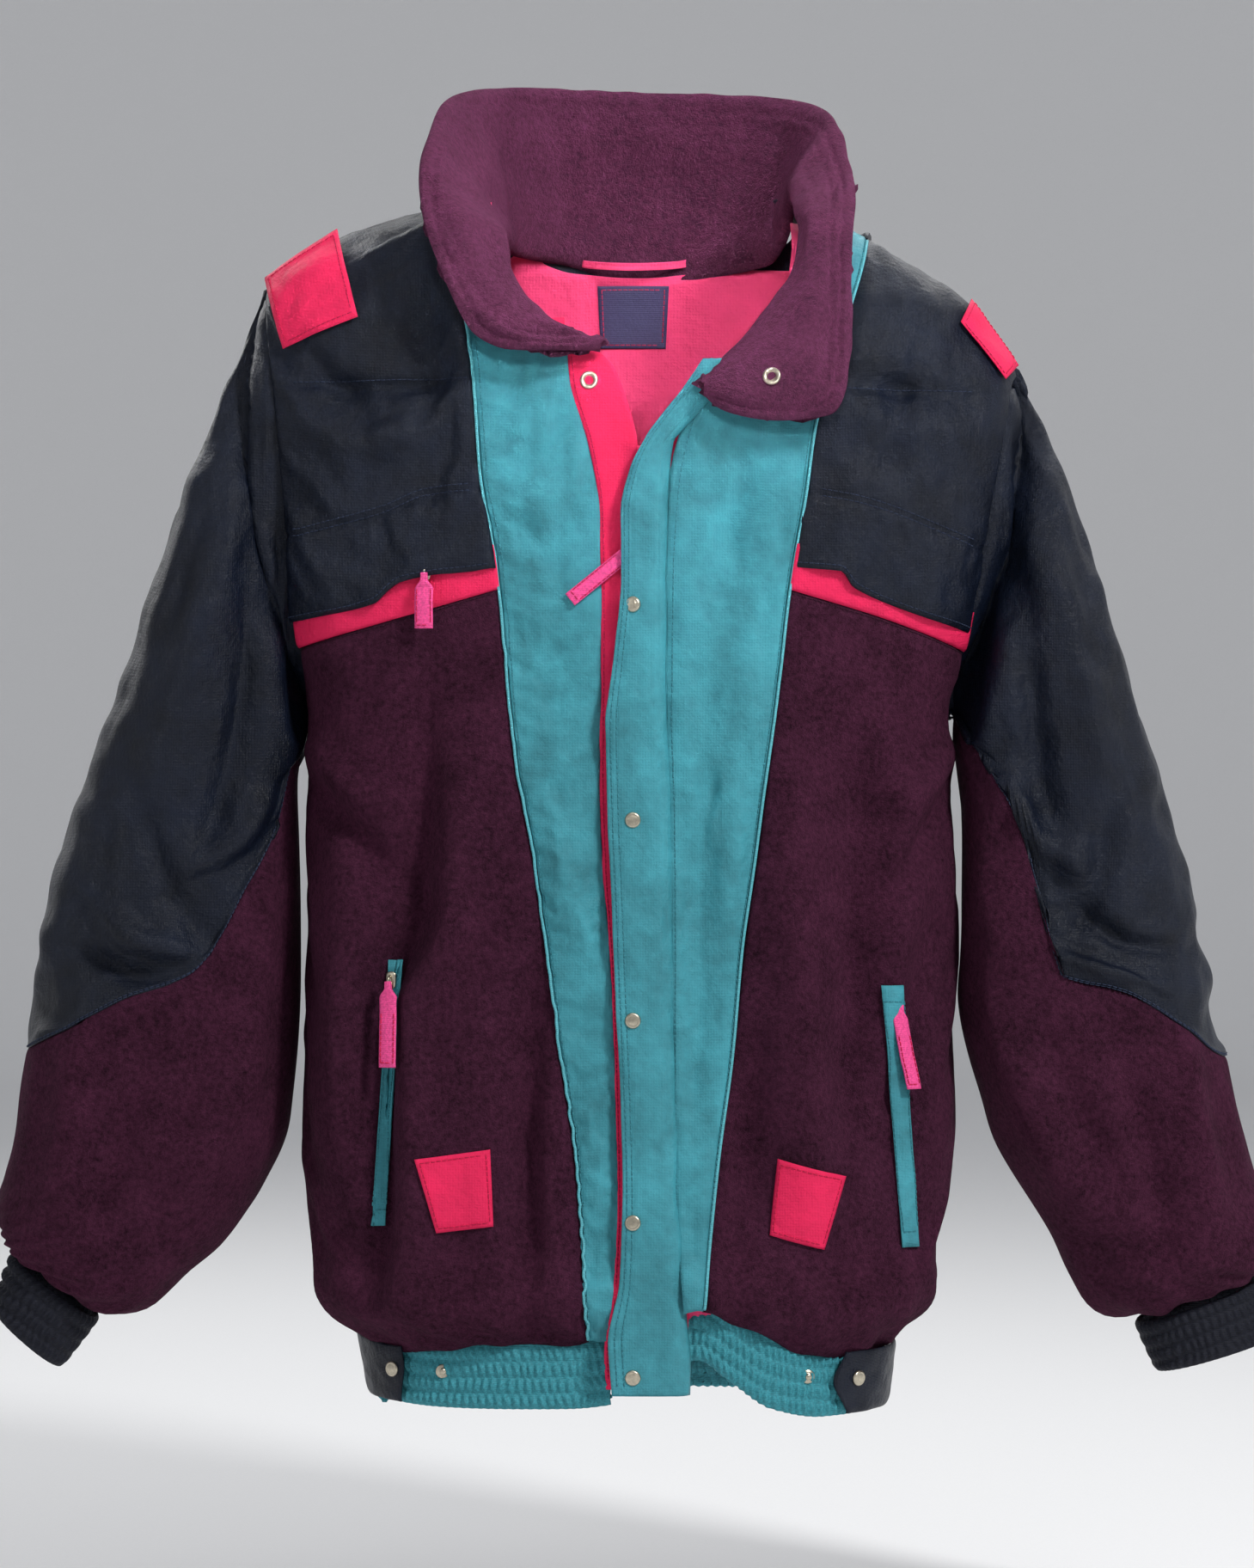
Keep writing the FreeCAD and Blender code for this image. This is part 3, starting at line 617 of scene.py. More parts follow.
# The collar's fleece has the body fleece's hue at about twice its lightness, which is painted light on the lit
# collar.
COLLAR_FLEECE_PAINTED_LIGHT = node_material("collar_fleece_painted_light", *two_tone((0.098, 0.025, 0.060), 0.55), 0.95, fleece_pattern,
                              sheen=0.18,
                              specular=0.08)
TEAL = node_material("teal_nylon", *two_tone((0.050, 0.285, 0.345), 0.28), 0.44, woven_pattern,
                     specular=0.30)
NAVY = node_material("navy_nylon", *two_tone((0.0045, 0.0075, 0.0175), 0.40), 0.37, woven_pattern,
                     specular=0.26)
PINK = node_material("pink_nylon", *two_tone((0.86, 0.020, 0.105), 0.12), 0.58, woven_pattern, specular=0.2)
LINING = node_material("pink_lining", *two_tone((0.98, 0.070, 0.215), 0.06), 0.62, woven_pattern,
                       specular=0.2)
TEAL_BAND = node_material("teal_elastic", *two_tone((0.042, 0.255, 0.305), 0.22), 0.62, rib_pattern,
                          specular=0.25)
NAVY_BAND = node_material("navy_elastic", *two_tone((0.0070, 0.0080, 0.0150), 0.3), 0.72, rib_pattern,
                          specular=0.25)
TAPE = node_material("pull_tape", *two_tone((0.80, 0.075, 0.27), 0.18), 0.70, rib_pattern, specular=0.2)
PIPING_TEAL = node_material("teal_piping", *two_tone((0.10, 0.40, 0.46), 0.15), 0.60, rib_pattern,
                            specular=0.3)
THREAD_NAVY = node_material("navy_thread", *two_tone((0.020, 0.030, 0.062), 0.2), 0.7, rib_pattern,
                            specular=0.3)
THREAD_TEAL = node_material("teal_thread", *two_tone((0.040, 0.215, 0.260), 0.2), 0.7, rib_pattern,
                            specular=0.3)
THREAD_PLUM = node_material("plum_thread", *two_tone((0.030, 0.008, 0.018), 0.2), 0.8, rib_pattern,
                            specular=0.1)
THREAD_PINK = node_material("pink_thread", *two_tone((0.55, 0.015, 0.07), 0.2), 0.7, rib_pattern,
                            specular=0.2)
METAL = node_material("snap_metal", *two_tone((0.52, 0.47, 0.37), 0.15), 0.32, metal_pattern, metallic=1.0)
COIL = node_material("zip_coil", *two_tone((0.012, 0.020, 0.040), 0.2), 0.45, metal_pattern)
LABEL = node_material("blank_label", *two_tone((0.045, 0.040, 0.110), 0.1), 0.6, rib_pattern, specular=0.3)


# ---------------------------------------------------------------- trims that follow a surface
def resample(points, step):
    """The same line with points an even step apart."""
    points = np.asarray(points, float)
    length = np.concatenate([[0], np.cumsum(np.linalg.norm(np.diff(points, axis=0), axis=1))])
    count = max(2, int(round(length[-1] / step)) + 1)
    s = np.linspace(0, length[-1], count)
    return np.stack([np.interp(s, length, points[:, k]) for k in range(points.shape[1])], axis=1)


def tube_mesh(points, radius, sides=8, flatten=1.0, up=None):
    """Vertices and faces of a closed-ended tube. flatten thins it along up."""
    points = np.asarray(points, float)
    tangent = unit(np.gradient(points, axis=0))
    if up is None:
        up = np.tile([0.0, -1.0, 0.05], (len(points), 1))
    side = unit(np.cross(tangent, up))
    top = unit(np.cross(side, tangent))
    angles = np.linspace(0, 2 * PI, sides, endpoint=False)
    scale = np.full(len(points), radius, float)
    ring = (points[:, None] + (side[:, None] * np.cos(angles)[None, :, None]
            + top[:, None] * np.sin(angles)[None, :, None] * flatten) * scale[:, None, None])
    caps = np.stack([points[0] - tangent[0] * radius * 0.4, points[-1] + tangent[-1] * radius * 0.4])
    n = len(points)
    faces = []
    for i in range(n - 1):
        for j in range(sides):
            k = (j + 1) % sides
            faces.append([i * sides + j, i * sides + k, (i + 1) * sides + k, (i + 1) * sides + j])
    for j in range(sides):
        k = (j + 1) % sides
        faces.append([n * sides, k, j])
        faces.append([n * sides + 1, (n - 1) * sides + j, (n - 1) * sides + k])
    return np.concatenate([ring.reshape(-1, 3), caps]), faces


class Heap:
    """Several small closed meshes that become one piece."""

    def __init__(self):
        self.verts, self.faces, self.count = [], [], 0

    def add(self, verts, faces):
        self.faces += [[int(i) + self.count for i in face] for face in faces]
        self.verts.append(np.asarray(verts, float))
        self.count += len(verts)
        return self

    def piece(self, name, material, body=BODY, replaces=()):
        obj = new_mesh(name, np.concatenate(self.verts), self.faces)
        obj.data.materials.append(material)
        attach(obj, body)
        if replaces:
            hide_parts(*replaces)
        return obj


def stitch(heap, points, normals, pitch=3.4, length=2.3, radius=0.34, lift=0.25):
    """Lays single stitches along a line of surface points."""
    data = resample(np.concatenate([points, normals], axis=1), 0.85)
    step = int(round(pitch / 0.85))
    for i in range(0, len(data) - step, step):
        a, b = data[i, :3], data[i + int(round(length / 0.85)), :3]
        n = unit(data[i, 3:])
        middle = (a + b) / 2
        line = np.array([a - n * 0.1, a * 0.6 + middle * 0.4 + n * lift, b * 0.6 + middle * 0.4 + n * lift,
                         b - n * 0.1])
        verts, faces = tube_mesh(line, radius, sides=5, up=np.tile(n, (4, 1)))
        heap.add(verts, faces)


def seam_stitches(heap, cloth, v=None, u=None, span=(0.01, 0.99), count=240):
    """Stitches along one grid line of a cloth."""
    t = np.linspace(span[0], span[1], count)
    if v is not None:
        points, normals = cloth.at(t, np.full(count, v) if np.isscalar(v) else np.interp(t, *v))
    else:
        points, normals = cloth.at(np.full(count, u), t)
    stitch(heap, points, normals)


def lathe(profile, centre, normal, sides=28):
    """A turned shape from radius and height pairs, around a normal."""
    normal = unit(np.asarray(normal, float))
    side = unit(np.cross(normal, [0.1, 0.2, 1.0]))
    top = np.cross(normal, side)
    verts, faces = [], []
    for radius, height in profile:
        for a in np.linspace(0, 2 * PI, sides, endpoint=False):
            verts.append(centre + normal * height + (side * math.cos(a) + top * math.sin(a)) * radius)
    rows = len(profile)
    for i in range(rows - 1):
        for j in range(sides):
            k = (j + 1) % sides
            faces.append([i * sides + j, i * sides + k, (i + 1) * sides + k, (i + 1) * sides + j])
    faces.append(list(range(sides))[::-1])
    faces.append([(rows - 1) * sides + j for j in range(sides)])
    return np.array(verts), faces


SNAP_CAP = [(4.7, -0.4), (4.8, 0.2), (4.6, 0.9), (4.1, 1.35), (3.5, 1.5), (3.2, 1.38), (2.9, 1.45),
            (1.5, 1.62), (0.2, 1.66)]
SNAP_RING = [(5.4, -0.3), (5.5, 0.3), (5.2, 1.0), (4.5, 1.3), (3.7, 1.15), (3.1, 0.7), (2.7, 0.2),
             (2.5, -0.2), (0.3, -0.25)]
SNAP_SOCKET = [(0.4, -4.4), (2.0, -4.4), (2.3, -3.2), (3.6, -2.9), (3.7, -2.2)]
SNAP_STUD = [(4.2, -0.3), (4.3, 0.3), (3.9, 0.7), (2.4, 0.8), (1.8, 1.0), (1.75, 2.0), (2.0, 2.5),
             (1.7, 2.9), (0.2, 3.0)]


def surface_of(*objects):
    """A surface that points can be dropped onto."""
    verts, faces, count = [], [], 0
    for obj in objects:
        flat = np.empty(len(obj.data.vertices) * 3)
        obj.data.vertices.foreach_get("co", flat)
        verts.append(flat.reshape(-1, 3) / MM)
        faces += [[i + count for i in p.vertices] for p in obj.data.polygons]
        count += len(obj.data.vertices)
    return BVHTree.FromPolygons(np.concatenate(verts).tolist(), faces)


def drop(tree, x, z, back=False):
    """Where a level line from the front, or the back, meets a surface at x, z, and the normal there."""
    depth, way = (900, Vector((0, -1, 0))) if back else (-900, Vector((0, 1, 0)))
    hit, normal, _, _ = tree.ray_cast(Vector((x, depth, z)), way)
    if hit is None:
        hit, normal, _, _ = tree.find_nearest(Vector((x, -160, z)))
    if normal.dot(way) > 0:
        normal = -normal
    return np.array(hit), np.array(normal)


def even_depth(x, z, y):
    """A smooth surface through dropped depths that ignores the ones that fell through a fold."""
    terms = np.stack([x * 0 + 1, x, z, x * x, x * z, z * z], axis=-1).reshape(-1, 6)
    flat, keep = y.reshape(-1), np.full(y.size, True)
    for _ in range(4):
        answer = np.linalg.lstsq(terms[keep], flat[keep], rcond=None)[0]
        away = flat - terms @ answer
        keep = np.abs(away) < max(2.0, 1.5 * np.std(away[keep]))
    away = np.clip(away, -2.5, 2.5).reshape(y.shape)
    wide = np.pad(away, 1, mode="edge")
    for _ in range(3):
        middle = (wide[:-2, 1:-1] + wide[2:, 1:-1] + wide[1:-1, :-2] + wide[1:-1, 2:]) / 4
        wide = np.pad(middle, 1, mode="edge")
    eased = wide[1:-1, 1:-1]
    return (terms @ answer).reshape(y.shape) + eased - 0.75 * max(0.0, float((eased - away).max()))


def patch_on(name, under, corners, material, stitches, replaces, thickness=1.1, lift=0.5, n=26):
    """A four-cornered patch sewn onto the cloths under it. Corners run round as x, z."""
    a, b, c, d = [np.array(p, float) for p in corners]
    u, v = np.linspace(0, 1, n)[:, None, None], np.linspace(0, 1, n)[None, :, None]
    flat = (a * (1 - u) + b * u) * (1 - v) + (d * (1 - u) + c * u) * v
    x, z = flat[..., 0], flat[..., 1]
    tree = surface_of(*[cloths[below].obj for below in under])
    y = np.array([[drop(tree, x[i, j], z[i, j])[0][1] for j in range(n)] for i in range(n)])
    cloth = Cloth(name, np.stack([x, even_depth(x, z, y), z], axis=-1))
    cloths[name], laid[name] = cloth, under
    cloth.flip = cloth.normals()[n // 2, n // 2][1] > 0
    near = np.minimum.reduce(spans(cloth.grid))
    cloth.push(lift + thickness + 0.4 * (1 - fade(near, 2.5)) + 0.2 * bumps(cloth.grid, 9, 31))
    cloth.solid(thickness, replaces=replaces, material=material)
    for u, v in ((0.06, None), (0.94, None), (None, 0.06), (None, 0.94)):
        seam_stitches(stitches, cloth, v=v, u=u, span=(0.06, 0.94), count=60)


# ---------------------------------------------------------------- torso panels
def edge_pins(grid, ring=False):
    """Pins for a simulation: held at the borders, free inside."""
    pins = np.zeros(grid.shape[:2])
    pins[:, 0] = pins[:, -1] = 1
    if not ring:
        pins[0] = pins[-1] = 1
    return pins


def pinch(cloth, depth, width, low=True, high=True, left=True, right=True):
    """Draws a sheet in at its seams."""
    d = spans(cloth.grid)
    keep = [m for m, on in zip(d, (left, right, low, high)) if on]
    if keep:
        cloth.push(-depth * fade(np.minimum.reduce(keep), width))
    return cloth


def pucker(cloth, border, height, wave, reach, seed):
    """Short ripples that run away from a sewn border: 0 left, 1 right, 2 low, 3 high."""
    d = spans(cloth.grid)
    along = d[2] if border < 2 else d[0]
    drift = bumps(np.stack([along * 0, along, along * 0], axis=-1) + seed * 17.3, 37, seed)
    size = 0.6 + 0.4 * bumps(np.stack([along, along * 0, along * 0], axis=-1) + seed * 7.7, 23, seed + 1)
    slant = d[border] * 0.35
    ripple = np.sin(2 * PI * (along + slant) / wave + 3.2 * drift)
    cloth.push(height * size * ripple * fade(d[border], reach) * ramp(d[border], 1.5, 6))
    return cloth


def crumple(cloth, height, size, seed):
    """Random dents of a size, none at the borders."""
    near = np.minimum.reduce(spans(cloth.grid))
    cloth.push(height * bumps(cloth.grid, size, seed) * ramp(near, 0, 12))
    return cloth


cloths = {}
laid = {}
GATHER = 1.3
OVERLAP = 4.0


SIDE_NAME = {-1: "right", 1: "left"}
CHEST_LINE = {-1: -86.0, 1: -92.0}
FLEECE_THICKNESS = 3.5
NYLON_THICKNESS = 2.4
LINING_LOW = -655.0


def side_x(side):
    return lambda z: armhole_x(side, z)


def level(value):
    """A border that has one value all along."""
    return lambda at: value + 0 * at


def from_teal(side):
    """The borders of a front panel that runs from the teal front to the armhole."""
    teal = lambda z: line_x(TEAL_OUTER[side], z)
    return (side_x(side), teal) if side < 0 else (teal, side_x(side))


def fleece_front(side):
    """A front fleece panel, gathered along the hem."""
    name = SIDE_NAME[side]
    cloth = front_panel("fleece_front_%s_cloth" % name, *from_teal(side), lambda x: hem_top(x) - OVERLAP,
                        lambda x: line_z(TRIM_LOW[side], x), 56, 130)
    pucker(cloth, 2, 3.4, 37, 34, 11 + side)
    pinch(cloth, 4.0, 5, left=False, right=False, high=False)
    pinch(cloth, 1.6, 4, low=False, left=side > 0, right=side < 0)
    pinch(cloth, 1.2, 8, low=False, high=False, left=side < 0, right=side > 0)
    cloth.grid = settle(cloth.grid, edge_pins(cloth.grid), 0.016, 0.4, bend=4, ease=4)
    cloth.solid(FLEECE_THICKNESS, replaces=["fleece_front_" + name], material=FLEECE)
    cloths["fleece_front_" + name] = cloth


def flap_lift(cloth, side):
    """Lifts the lower part of a yoke, which is a flap sewn along a line above its free edge."""
    x, z = cloth.grid[..., 0], cloth.grid[..., 2]
    low, line = line_z(FREE_EDGE[side], x), line_z(FLAP_LINE[side], x)
    part = np.clip((line - z) / (line - low), 0, 1)
    wave = np.sin(2 * PI * x / 58 + 1.2 * side) * 1.6 + 1.6 * bumps(cloth.grid, 30, 41 + side)
    lift = 3.4 * part ** 0.6 + wave * part ** 1.5
    if side < 0:
        lift = lift + 5.0 * bell(x + 124, 15) * part
    ripple = np.sin(2 * PI * (x + 0.2 * z) / 14 + 4 * bumps(cloth.grid, 25, 43))
    gather = 0.8 * ripple * bell(z - line + 9, 11)
    cloth.push(lift - 1.2 * bell(z - line, 2.0) + 0.5 * bell(z - line - 9, 8)
               + gather * (0.5 + bumps(cloth.grid, 30, 44)))


def yoke_front(side):
    """A front yoke of navy nylon, gathered along a stitched line, with its lower flap."""
    name = SIDE_NAME[side]
    top = {-1: 29.0, 1: 10.0}[side]
    cloth = front_panel("yoke_front_%s_cloth" % name, *from_teal(side), lambda x: line_z(FREE_EDGE[side], x),
                        level(top), 60, 96)
    flap_lift(cloth, side)
    pinch(cloth, 1.4, 3.5, low=False)
    x, z = cloth.grid[..., 0], cloth.grid[..., 2]
    line = CHEST_LINE[side]
    gather = np.sin(2 * PI * x / 13 + 3 * bumps(cloth.grid, 30, 5)) * (0.5 + bumps(cloth.grid, 34, 6))
    cloth.push(-0.8 * bell(z - line, 1.8) + 0.5 * gather * bell(z - line, 8))
    crumple(cloth, 2.4, (22, 34, 38), 51 + side)
    crumple(cloth, 1.5, (10, 20, 18), 53 + side)
    cloth.grid = settle(cloth.grid, edge_pins(cloth.grid), 0.022, 0.3, bend=1.0, cap=5)
    cloth.solid(NYLON_THICKNESS, replaces=["yoke_front_" + name], material=NAVY)
    cloths["yoke_front_" + name] = cloth


def chest_trim(side):
    """The pink strip under a yoke's flap."""
    name = SIDE_NAME[side]
    cloth = front_panel("chest_trim_%s_cloth" % name, *from_teal(side),
                        lambda x: line_z(TRIM_LOW[side], x) - 1,
                        lambda x: line_z(FREE_EDGE[side], x) + 14, 60, 14)
    cloth.push(0.8 - 1.6 * fade(spans(cloth.grid)[2], 2.0))
    cloth.solid(1.8, replaces=["chest_trim_" + name], material=PINK)
    cloths["chest_trim_" + name] = cloth


SEWN_X = [(27, -104), (20, -166), (19.5, -270), (23, -354), (24.5, -478), (27, -582), (31, -634), (34, -668)]


def teal_front():
    """The two teal panels beside the opening."""
    left = lambda z: np.maximum(line_x(TEAL_OUTER[-1], z), -half_width(-1, z))
    right = lambda z: np.minimum(line_x(TEAL_INNER_R, z), line_x(NECK[-1], z)) + 7 * ramp(z, -40, -12)
    cloth = front_panel("teal_front_right_cloth", left, right, hem_top, level(34), 34, 230)
    finish_teal(cloth, "right", 21)
    left = lambda z: np.maximum(line_x(SEWN_X, z) - 3, line_x(NECK[1], z))
    right = lambda z: np.minimum(line_x(TEAL_OUTER[1], z), half_width(1, z))
    cloth = front_panel("teal_front_left_cloth", left, right, hem_top, level(28), 40, 230)
    cloth.push(3.0 * fade(spans(cloth.grid)[0] - 3, 22))
    finish_teal(cloth, "left", 27)


def finish_teal(cloth, name, seed):
    """Gives a teal panel its wrinkles, seams and thickness."""
    crumple(cloth, 2.5, (15, 20, 46), seed)
    crumple(cloth, 1.7, (9, 9, 22), seed + 3)
    pucker(cloth, 0, 0.9, 13, 12, seed + 1)
    pucker(cloth, 1, 0.9, 12, 12, seed + 2)
    pinch(cloth, 1.6, 3.0, high=False)
    cloth.grid = settle(cloth.grid, edge_pins(cloth.grid), 0.05, 0.3, bend=0.4)
    cloth.solid(NYLON_THICKNESS, replaces=["teal_front_" + name], material=TEAL)
    cloths["teal_front_" + name] = cloth


def facings():
    """The pink facings behind the zip."""
    cloth = front_panel("facing_right_cloth", lambda z: line_x(TEAL_INNER_R, z) - 1,
                        lambda z: np.minimum(line_x(NECK[-1], z), 3.0), level(-690), level(-50), 16, 200)
    d = spans(cloth.grid)
    cloth.push(-1.0 * fade(d[0], 2.0) + 0.9 * bumps(cloth.grid, (8, 8, 15), 61) - 0.5)
    cloth.solid(2.0, replaces=["facing_right"], material=PINK)
    cloths["facing_right"] = cloth
    cloth = front_panel("facing_left_cloth", lambda z: line_x(NECK[1], z), lambda z: line_x(NECK[1], z) + 16,
                        level(LINING_LOW), level(-62), 10, 160, inset=6)
    cloth.push(0.6 * bumps(cloth.grid, (8, 8, 15), 62) - 2.0)
    cloth.solid(1.6, replaces=["facing_left"], material=PINK)
    cloths["facing_left"] = cloth


LINING_NECK = [(-110, 33), (-88, 30), (-74, 14), (-58, -1), (-40, -6), (0, -9), (40, -7), (62, -5), (76, 8),
               (88, 22), (96, 28), (110, 33)]
BACK_NECK = [(-92, 60), (-84, 24), (-45, 4), (0, 0), (45, 4), (84, 24), (92, 60)]


def back_panels():
    """The back yoke and the back fleece panel."""
    low, high = level(-196), lambda x: np.minimum(36, line_z(BACK_NECK, x))
    cloth = front_panel("yoke_back_cloth", side_x(-1), side_x(1), low, high, 110, 60, back=True)
    pinch(cloth, 1.6, 4)
    crumple(cloth, 1.4, (34, 34, 22), 71)
    cloth.grid = settle(cloth.grid, edge_pins(cloth.grid), 0.02, 0.0, bend=1.0, cap=5)
    cloth.solid(NYLON_THICKNESS, replaces=["yoke_back"], material=NAVY)
    cloths["yoke_back"] = cloth
    cloth = front_panel("fleece_back_cloth", side_x(-1), side_x(1), lambda x: hem_top(x, True) - OVERLAP,
                        low, 110, 120,
                        back=True)
    pucker(cloth, 2, 3.0, 33, 30, 73)
    pinch(cloth, 4.0, 5, left=False, right=False, high=False)
    pinch(cloth, 1.6, 4, low=False)
    cloth.grid = settle(cloth.grid, edge_pins(cloth.grid), 0.016, 0.0, bend=4, ease=4)
    cloth.solid(FLEECE_THICKNESS, replaces=["fleece_back"], material=FLEECE)
    cloths["fleece_back"] = cloth


def quilt(cloth, wave=58):
    """Vertical quilting channels, a wave apart."""
    x = cloth.grid[..., 0]
    channel = np.abs(np.sin(PI * (x + 29) / wave)) ** 0.5
    cloth.push(-(2.4 * channel - 1.2) + 0.7 * bumps(cloth.grid, (12, 30, 18), 81))


def linings():
    """The quilted lining of the back and both fronts."""
    short = {-1: lambda z: armhole_x(-1, z) + 14, 1: lambda z: armhole_x(1, z) - 14}
    cloth = front_panel("lining_back_cloth", short[-1], short[1], level(LINING_LOW),
                        lambda x: line_z(LINING_NECK, x), 120, 90, inset=10, back=True)
    quilt(cloth)
    cloth.solid(1.6, replaces=["lining_back", "wadding", "pocket_bags"], material=LINING)
    cloths["lining_back"] = cloth
    for side, name in ((-1, "right"), (1, "left")):
        inner = lambda z: line_x(NECK[side], z) + side * (4 - 9 * ramp(z, -45, -15))
        borders = (short[side], inner) if side < 0 else (inner, short[side])
        cloth = front_panel("lining_front_%s_cloth" % name, *borders, level(LINING_LOW),
                            level({-1: 26, 1: 14}[side]),
                            60, 80, inset=12)
        quilt(cloth)
        cloth.solid(1.6, replaces=["lining_front_" + name], material=LINING)
        cloths["lining_front_" + name] = cloth


# ---------------------------------------------------------------- sleeves
# Outer edge x, z, inner edge x, z, half-depth.
SLEEVE = {
    -1: np.array([(-227.6, -20, -201.6, -285, 64), (-257, -80, -203.5, -296, 63),
                  (-290, -174, -205.5, -312, 61),
                  (-321, -269, -206.5, -334, 60), (-351, -364, -207, -386, 62), (-367, -444, -207, -448, 65),
                  (-375, -530, -214, -530, 64), (-382, -590, -256, -606, 54), (-384, -614, -326, -658, 38)]),
    1: np.array([(236.6, -70, 194.6, -285, 64), (258, -108, 197, -298, 63), (284, -190, 199, -318, 61),
                 (309, -271, 200, -345, 60), (335, -359, 200, -392, 62), (354, -444, 200.5, -450, 65),
                 (371, -525, 219, -528, 64), (384, -590, 265, -612, 54), (391, -628, 304, -660, 40)]),
}
CUFF_END = {-1: (-396, -648, -350, -688, 33), 1: (400, -664, 318, -690, 36)}
NAVY_EDGE = {
    -1: [(-190, -296), (-205, -307), (-216, -355), (-240, -401), (-263, -441), (-306, -457), (-369, -489),
         (-410, -503)],
    1: [(180, -255), (194, -269), (200, -296), (218, -322), (240, -359), (245, -401), (250, -441),
        (302, -457),
        (361, -493), (410, -516)],
}
SLEEVE_Y = -72.0
SLEEVE_FOLD_SCALE = 1.7
SLEEVE_FOLDS = {
    -1: [([(-240, -150), (-262, -230), (-290, -330)], 15, 6),
         ([(-225, -200), (-240, -300), (-262, -380)], 11, -6),
         ([(-330, -390), (-300, -420), (-262, -430)], 9, 6),
         ([(-340, -420), (-310, -440), (-285, -445)], 7, -5),
         ([(-300, -330), (-280, -390), (-250, -430)], 10, -5),
         ([(-215, -320), (-240, -360), (-280, -380)], 10, 5),
         ([(-230, -440), (-262, -500), (-300, -580)], 14, -7),
         ([(-330, -470), (-345, -540), (-350, -600)], 13, 5),
         ([(-225, -480), (-255, -540), (-300, -610)], 12, 5),
         ([(-280, -470), (-310, -540), (-330, -610)], 11, -5),
         ([(-215, -390), (-222, -450), (-240, -520)], 11, 5)],
    1: [([(250, -170), (268, -250), (292, -340)], 15, 6), ([(232, -220), (246, -320), (262, -400)], 11, -6),
        ([(250, -430), (285, -442), (330, -450)], 8, 6), ([(268, -400), (300, -420), (335, -425)], 8, -5),
        ([(290, -330), (280, -390), (262, -430)], 10, -5), ([(210, -310), (240, -350), (275, -380)], 10, 5),
        ([(240, -450), (262, -510), (300, -590)], 14, -7), ([(330, -480), (345, -550), (350, -610)], 13, 5),
        ([(222, -480), (250, -540), (290, -600)], 12, 5), ([(290, -480), (312, -550), (325, -620)], 11, -5),
        ([(205, -400), (214, -450), (236, -510)], 11, 5)],
}


def station(side, t):
    """The sleeve's outer edge, inner edge and half-depth at a share t of its length."""
    rows = SLEEVE[side]
    middle = (rows[:, 0:2] + rows[:, 2:4]) / 2
    length = np.concatenate([[0], np.cumsum(np.hypot(*np.diff(middle, axis=0).T))])
    return [smooth(length / length[-1], rows[:, k], t) for k in range(5)]


def superellipse(phi, power):
    c, s = np.cos(phi), np.sin(phi)
    return np.abs(c) ** (2 / power) * np.sign(c), np.abs(s) ** (2 / power) * np.sign(s)


def sleeve_point(side, t, phi, inset=0.0):
    """A point of the sleeve: phi 0 is the outer edge, -pi/2 the front, pi the inner edge."""
    x0, z0, x1, z1, depth = station(side, t)
    across, deep = superellipse(phi, 2.3)
    length = np.hypot(x0 - x1, z0 - z1) / 2
    keep = 1 - inset / length
    x = (x0 + x1) / 2 + (x0 - x1) / 2 * across * keep
    z = (z0 + z1) / 2 + (z0 - z1) / 2 * across * keep
    y = SLEEVE_Y + (depth - inset) * deep
    theta_front, theta_back = theta_at(x, z), theta_at(x, z, True)
    hole = np.where(deep < 0, body_point(theta_front, z, inset)[..., 1],
                    body_point(theta_back, z, inset)[..., 1])
    near = np.exp(-(t / 0.07) ** 2)
    return np.stack([x, y * (1 - near) + hole * near, z], axis=-1)


def split_at(side, phi):
    """How far down the sleeve the navy cloth reaches, for each phi."""
    t = np.linspace(0.0, 1.0, 600)
    reach = []
    for angle in phi:
        p = sleeve_point(side, t, np.full_like(t, angle))
        over = p[:, 2] - line_z(NAVY_EDGE[side], p[:, 0])
        hits = np.nonzero(over < 0)[0]
        reach.append(t[hits[0]] if len(hits) else 1.0)
    reach = np.array(reach)
    kernel = np.ones(5) / 5
    wrapped = np.concatenate([reach[-3:-1], reach, reach[1:3]])
    return np.clip(np.convolve(wrapped, kernel, "valid"), 0.012, 0.96)


def sleeve_fold(side, p):
    """How far a sleeve's cloth stands off its base form at points of it."""
    x, z = p[..., 0], p[..., 2]
    total = 3.0 * bumps(p, (36, 50, 80), 91 + side) + 2.4 * bumps(p, (17, 26, 34), 93 + side)
    mirrored = np.where(p[..., 1] < SLEEVE_Y, 1.0, 0.8)
    for line, width, height in SLEEVE_FOLDS[side]:
        total = total + SLEEVE_FOLD_SCALE * crease(x, z, line, 0.85 * width, height) * mirrored
    return total * ramp(np.abs(x) - 205, -2, 22)


def sleeve_sheet(name, side, t_low, t_high, nu, nv, inset=0.0):
    phi = np.linspace(-PI, PI, nu)
    low, high = t_low(phi)[:, None], t_high(phi)[:, None]
    t = low + (high - low) * np.linspace(0, 1, nv)[None, :]
    grid = sleeve_point(side, t, phi[:, None] + 0 * t, inset)
    cloth = Cloth(name, grid, ring=True)
    outward = grid - grid.mean(axis=0, keepdims=True)
    if (cloth.normals() * outward).sum() < 0:
        cloth.flip = True
    cloth.push(sleeve_fold(side, grid) * ramp(t, 0.0, 0.08))
    return cloth


def close_ring(cloth):
    cloth.grid[-1] = cloth.grid[0]
    return cloth


def settle_ring(cloth, grow, bend):
    grid = cloth.grid[:-1]
    pins = edge_pins(grid, ring=True)
    moved = settle(grid, pins, grow, 0.3, bend=bend, ring=True, cap=6, ease=7)
    cloth.grid = np.concatenate([moved, moved[:1]])


def shoulder_blend(obj):
    """Bakes a sleeve piece's placement into its mesh."""
    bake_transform(obj)


